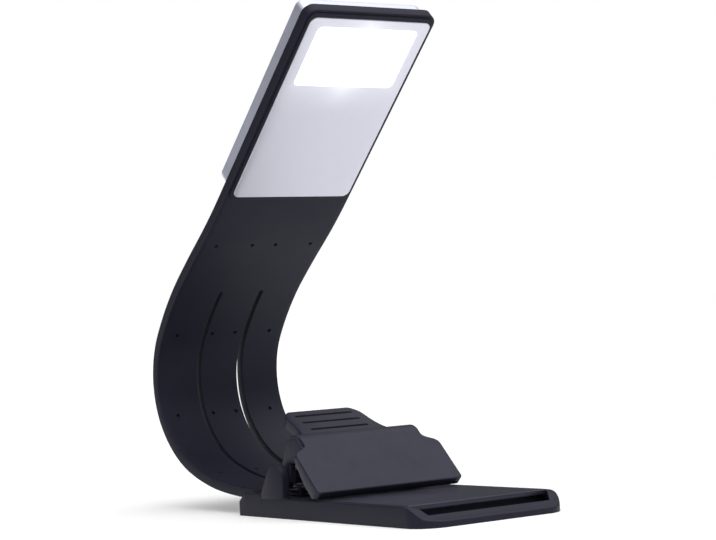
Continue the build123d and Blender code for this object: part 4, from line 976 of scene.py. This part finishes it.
def silver_with_painted_glow(name, colour, rough, painted_glow):
    """Anodised metal with a painted glow: emission stands in for the window's light spilling onto the plate.
    At a distance d from the window it falls off as (1 - d / reach) squared, and from the middle line as a
    quarter and three quarters of 1 / (1 + (y / spot) squared)."""
    made = silver(name, colour, rough)
    tree = made.node_tree
    calc = partial(math_node, tree)
    centre = head_points([[(WINDOW[0] + WINDOW[1]) / 2, 0, PLATE_FACE]])[0] * MM
    local = node(tree, "ShaderNodeMapping", vector_type="TEXTURE", Vector=object_place(tree),
                 Location=centre, Rotation=(0, -HEAD_TILT, 0))
    parts = node(tree, "ShaderNodeSeparateXYZ", Vector=local.outputs["Vector"])
    outside = []
    for axis, half in (("X", (WINDOW[1] - WINDOW[0]) / 2), ("Y", WINDOW[2])):
        away = calc("SUBTRACT", calc("ABSOLUTE", parts.outputs[axis]), half * MM)
        outside.append(calc("POWER", calc("MAXIMUM", away, 0.0), 2.0))
    distance = calc("SQRT", calc("ADD", *outside))
    near = calc("MAXIMUM", calc("SUBTRACT", 1.0, calc("DIVIDE", distance, PAINTED_GLOW_REACH)), 0.0)
    across = calc("POWER", calc("DIVIDE", parts.outputs["Y"], PAINTED_GLOW_SPOT), 2.0)
    spot = calc("DIVIDE", 1.0, calc("ADD", across, 1.0))
    share = calc("ADD", calc("MULTIPLY", spot, 0.75), 0.25)
    # Strength of the painted glow: emission standing in for the window's light falling on the plate
    painted_glow_strength = calc("MULTIPLY", calc("MULTIPLY", calc("POWER", near, 2.0), painted_glow), share)
    shader = tree.nodes["Principled BSDF"]
    shader.inputs["Emission Color"].default_value = (1, 1, 1, 1)
    tree.links.new(painted_glow_strength, shader.inputs["Emission Strength"])
    return made


def lit_window(name, colour):
    """Milky plastic lit from behind, with a slow change of strength over it."""
    made, tree, shader = new_finish(name, Roughness=0.35, Base_Color=(0.9, 0.9, 0.9, 1),
                                    Emission_Color=(*colour, 1))
    noise = node(tree, "ShaderNodeTexNoise", Vector=object_place(tree), Scale=120.0)
    span = node(tree, "ShaderNodeMapRange", Value=noise.outputs["Fac"], To_Min=1.0, To_Max=1.25)
    tree.links.new(span.outputs["Result"], shader.inputs["Emission Strength"])
    return made


def drawn_steel(name, colour, rough):
    """Bright steel with fine streaks."""
    made, tree, shader = new_finish(name, Metallic=1.0)
    mottle(tree, shader, colour, 200.0, 0.06, rough, 0.05)
    grain(tree, shader, 1500.0, 0.08, 0.02 * MM, stretch=(1, 0.2, 1))
    return made


def circuit_board(name):
    """Green board, paler away from the middles of square cells."""
    made, tree, shader = new_finish(name, Roughness=0.4)
    cells = node(tree, "ShaderNodeTexVoronoi", distance="CHEBYCHEV", Vector=object_place(tree), Scale=450.0)
    ramp = node(tree, "ShaderNodeValToRGB", Fac=cells.outputs["Distance"])
    ramp.color_ramp.elements[0].color = (0.01, 0.09, 0.04, 1)
    ramp.color_ramp.elements[1].color = (0.03, 0.2, 0.08, 1)
    tree.links.new(ramp.outputs["Color"], shader.inputs["Base Color"])
    grain(tree, shader, 2500.0, 0.1, 0.02 * MM)
    return made


# Each finish, made when it is first asked for. A moulded one has its colour, roughness, specular level,
# scale and strength of grain, and spread of colour.
MAKERS = {
    "silicone": lambda: moulded("silicone black", colours().silicone, 0.56, 0.26, 3200.0, 0.10),
    "clip": lambda: moulded("moulded clip black", colours().clip, 0.45, 0.2, 4200.0, 0.14),
    # The jaw and the top plate take lighter copies of the clip black, by 1.2 and 1.3: painted light standing
    # in for the overhead light on their upward faces
    "jaw": lambda: moulded("moulded jaw black painted lighter", scaled(colours().clip, 1.2), 0.42, 0.28, 2600.0, 0.25, 0.3),
    "plate": lambda: moulded("textured plate black painted lighter", scaled(colours().clip, 1.3), 0.32, 0.5, 2600.0, 0.28,
                             0.3),
    "pad": lambda: moulded("foam rubber", (0.02, 0.02, 0.02), 0.8, 0.2, 1800.0, 0.4),
    "button": lambda: moulded("button black", (0.02, 0.02, 0.022), 0.3, 0.5, 5000.0, 0.05),
    "white": lambda: moulded("white reflector", (0.82, 0.82, 0.82), 0.5, 0.4, 3000.0, 0.05, 0.02),
    "lamp": lambda: moulded("lamp phosphor", (0.85, 0.62, 0.16), 0.3, 0.5, 4000.0, 0.05, 0.05),
    "clear": lambda: moulded("light pipe", (0.7, 0.72, 0.74), 0.15, 0.5, 3000.0, 0.02, 0.02),
    # The front plate's finish has a painted glow: emission round the window stands in for its spilled light
    "front_silver_painted_glow": lambda: silver_with_painted_glow("front plate silver with painted glow", colours().silver, 0.42, 0.34),
    "silver": lambda: silver("housing silver", scaled(colours().silver, (0.99, 1.02, 1.07)), 0.45),
    "window": lambda: lit_window("lit window", colours().window),
    "board": lambda: circuit_board("circuit board"),
    "foil": lambda: drawn_steel("cell foil", (0.55, 0.55, 0.57), 0.4),
    "steel": lambda: drawn_steel("zinc-plated steel", (0.55, 0.55, 0.56), 0.35),
    "spring": lambda: drawn_steel("spring wire", (0.62, 0.62, 0.63), 0.28),
}
made_finishes = {}


def finish(key):
    """The named finish, made once."""
    if key not in made_finishes:
        made_finishes[key] = MAKERS[key]()
    return made_finishes[key]


# The carried-over parts, by finish
NODE_FINISHES = {
    "steel": ["plate_screws", "cover_screws", "pivot_pin", "arm_core_root", "arm_core_lower",
              "arm_core_middle", "arm_core_upper", "tact_switch", "charge_socket", "head_screws"],
    "board": ["led_board", "control_board"], "pad": ["base_pad", "jaw_pad"], "clip": ["root_cover"],
    "spring": ["clamp_spring"], "window": ["diffuser"], "white": ["reflector"], "lamp": ["leds"],
    "foil": ["battery"], "clear": ["status_window"], "silver": ["rear_housing"], "button": ["power_button"],
}


class LIGHT_OT_node_finishes(bpy.types.Operator):
    """Give each carried-over part its finish"""

    bl_idname = "light.node_finishes"
    bl_label = "Finishes of the carried-over parts"

    def execute(self, context):
        for key, names in NODE_FINISHES.items():
            for name in names:
                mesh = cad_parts[name].data
                mesh.materials.clear()
                mesh.materials.append(finish(key))
        return {"FINISHED"}


# The studio, in metres and degrees
CAMERA_PLACE = (0.54447, -0.39068, 0.06181)
CAMERA_ANGLES = (55.074, -1.847, -3.416)
CAMERA_LENS = 98.70
SENSOR_WIDTH = 36.0
FLOOR_HALF_SIZE = 30.0
FLOOR_LIFT = 0.34
SKY_MIDDLE = (0.25, 0.05, 1.0)
SKY_POWER = 3.0
SKY_HIGH = 2.5
SKY_EVEN = 0.08
SUN_FROM = (0.4, -0.1, 1.0)
SUN_STRENGTH = 0.3
SUN_ANGLE = 60


def camera_matrix():
    """Camera turned by yaw round Z, pitch from the level and roll round its own axis."""
    yaw, pitch, roll = [math.radians(a) for a in CAMERA_ANGLES]
    back = Vector((math.sin(yaw) * math.cos(pitch), -math.cos(yaw) * math.cos(pitch), math.sin(pitch)))
    level_right = Vector((math.cos(yaw), math.sin(yaw), 0.0))
    level_up = back.cross(level_right)
    right = level_right * math.cos(roll) + level_up * math.sin(roll)
    up = level_up * math.cos(roll) - level_right * math.sin(roll)
    turned = Matrix((right, up, back)).transposed().to_4x4()
    return Matrix.Translation(CAMERA_PLACE) @ turned


def seen_by(tree, *rays):
    """1 on the named kinds of ray, and 0 on all others."""
    path = node(tree, "ShaderNodeLightPath")
    seen = path.outputs[rays[0]]
    for ray in rays[1:]:
        seen = math_node(tree, "MAXIMUM", seen, path.outputs[ray])
    return seen


class LIGHT_OT_stage(bpy.types.Operator):
    """Make the pale floor, the soft light and the camera"""

    bl_idname = "light.stage"
    bl_label = "Studio"

    def execute(self, context):
        self.make_floor()
        self.make_world()
        self.make_lamp()
        camera = new_object("camera", bpy.data.cameras.new("camera"))
        camera.data.lens = CAMERA_LENS
        camera.data.sensor_width = SENSOR_WIDTH
        camera.data.clip_start, camera.data.clip_end = 0.01, 100.0
        camera.matrix_world = camera_matrix()
        context.scene.camera = camera
        context.scene.view_settings.view_transform = "Standard"
        return {"FINISHED"}

    def make_floor(self):
        """Wide pale floor that takes the object's shadow, lifted to white for the eye and for mirrors."""
        size = FLOOR_HALF_SIZE
        corners = [(-size, -size, 0), (size, -size, 0), (size, size, 0), (-size, size, 0)]
        mesh = bpy.data.meshes.new("floor")
        mesh.from_pydata(corners, [], [(0, 1, 2, 3)])
        floor = new_object("floor", mesh)
        made, tree, shader = new_finish("studio floor", Roughness=0.9, Specular_IOR_Level=0.0)
        shader.inputs["Base Color"].default_value = (*colours().floor, 1)
        shader.inputs["Emission Color"].default_value = (1, 1, 1, 1)
        seen = seen_by(tree, "Is Camera Ray", "Is Glossy Ray", "Is Transmission Ray")
        tree.links.new(math_node(tree, "MULTIPLY", seen, FLOOR_LIFT), shader.inputs["Emission Strength"])
        mesh.materials.append(made)

    def make_world(self):
        """White behind the object. Its light is even + high cos^n, for the angle from the sky's middle."""
        world = bpy.data.worlds.new("studio")
        world.use_nodes = True
        tree = world.node_tree
        background = tree.nodes["Background"]
        background.inputs["Color"].default_value = (1, 1, 1, 1)
        facing = node(tree, "ShaderNodeVectorMath", operation="DOT_PRODUCT")
        tree.links.new(node(tree, "ShaderNodeTexCoord").outputs["Generated"], facing.inputs[0])
        facing.inputs[1].default_value = Vector(SKY_MIDDLE).normalized()
        share = math_node(tree, "MAXIMUM", facing.outputs["Value"], 0.0)
        high = math_node(tree, "MULTIPLY", math_node(tree, "POWER", share, SKY_POWER), SKY_HIGH)
        mix = node(tree, "ShaderNodeMix", data_type="FLOAT")
        factor, unseen, seen = mix.inputs[0], mix.inputs[2], mix.inputs[3]
        tree.links.new(seen_by(tree, "Is Camera Ray", "Is Transmission Ray"), factor)
        tree.links.new(math_node(tree, "ADD", high, SKY_EVEN), unseen)
        seen.default_value = 1.0
        tree.links.new(mix.outputs[0], background.inputs["Strength"])
        bpy.context.scene.world = world

    def make_lamp(self):
        """One wide soft sun from high on the side of the jaw."""
        lamp = bpy.data.lights.new("soft sun", "SUN")
        lamp.energy = SUN_STRENGTH
        lamp.angle = math.radians(SUN_ANGLE)
        sun = new_object("soft sun", lamp)
        sun.rotation_euler = Vector(SUN_FROM).to_track_quat("Z", "Y").to_euler()


class LIGHT_PT_panel(bpy.types.Panel):
    """Sidebar panel of the reading light"""

    bl_idname = "LIGHT_PT_panel"
    bl_label = "Reading light"
    bl_space_type = "VIEW_3D"
    bl_region_type = "UI"
    bl_category = "Reading light"

    def draw(self, context):
        for group in (context.scene.light_sizes, context.scene.light_colours):
            for name in group.__annotations__:
                self.layout.prop(group, name)
        for operator in OPERATORS:
            self.layout.operator(operator.bl_idname)


OPERATORS = [
    LIGHT_OT_arm_skin, LIGHT_OT_head_front, LIGHT_OT_clip_base, LIGHT_OT_jaw, LIGHT_OT_node_finishes,
    LIGHT_OT_stage,
]
CLASSES = [LightSizes, LightColours, *OPERATORS, LIGHT_PT_panel]


def register():
    """Registers the classes and hangs the two groups of values on the scene."""
    for each in CLASSES:
        bpy.utils.register_class(each)
    bpy.types.Scene.light_sizes = bpy.props.PointerProperty(type=LightSizes)
    bpy.types.Scene.light_colours = bpy.props.PointerProperty(type=LightColours)


def unregister():
    """Takes the two groups of values off the scene and the classes out."""
    del bpy.types.Scene.light_colours
    del bpy.types.Scene.light_sizes
    for each in reversed(CLASSES):
        bpy.utils.unregister_class(each)


def main():
    """Builds the light and its studio."""
    register()
    bpy.ops.light.arm_skin()
    bpy.ops.light.head_front()
    bpy.ops.light.clip_base()
    bpy.ops.light.jaw()
    bpy.ops.light.node_finishes()
    bpy.ops.light.stage()


if __name__ == "__main__":
    main()
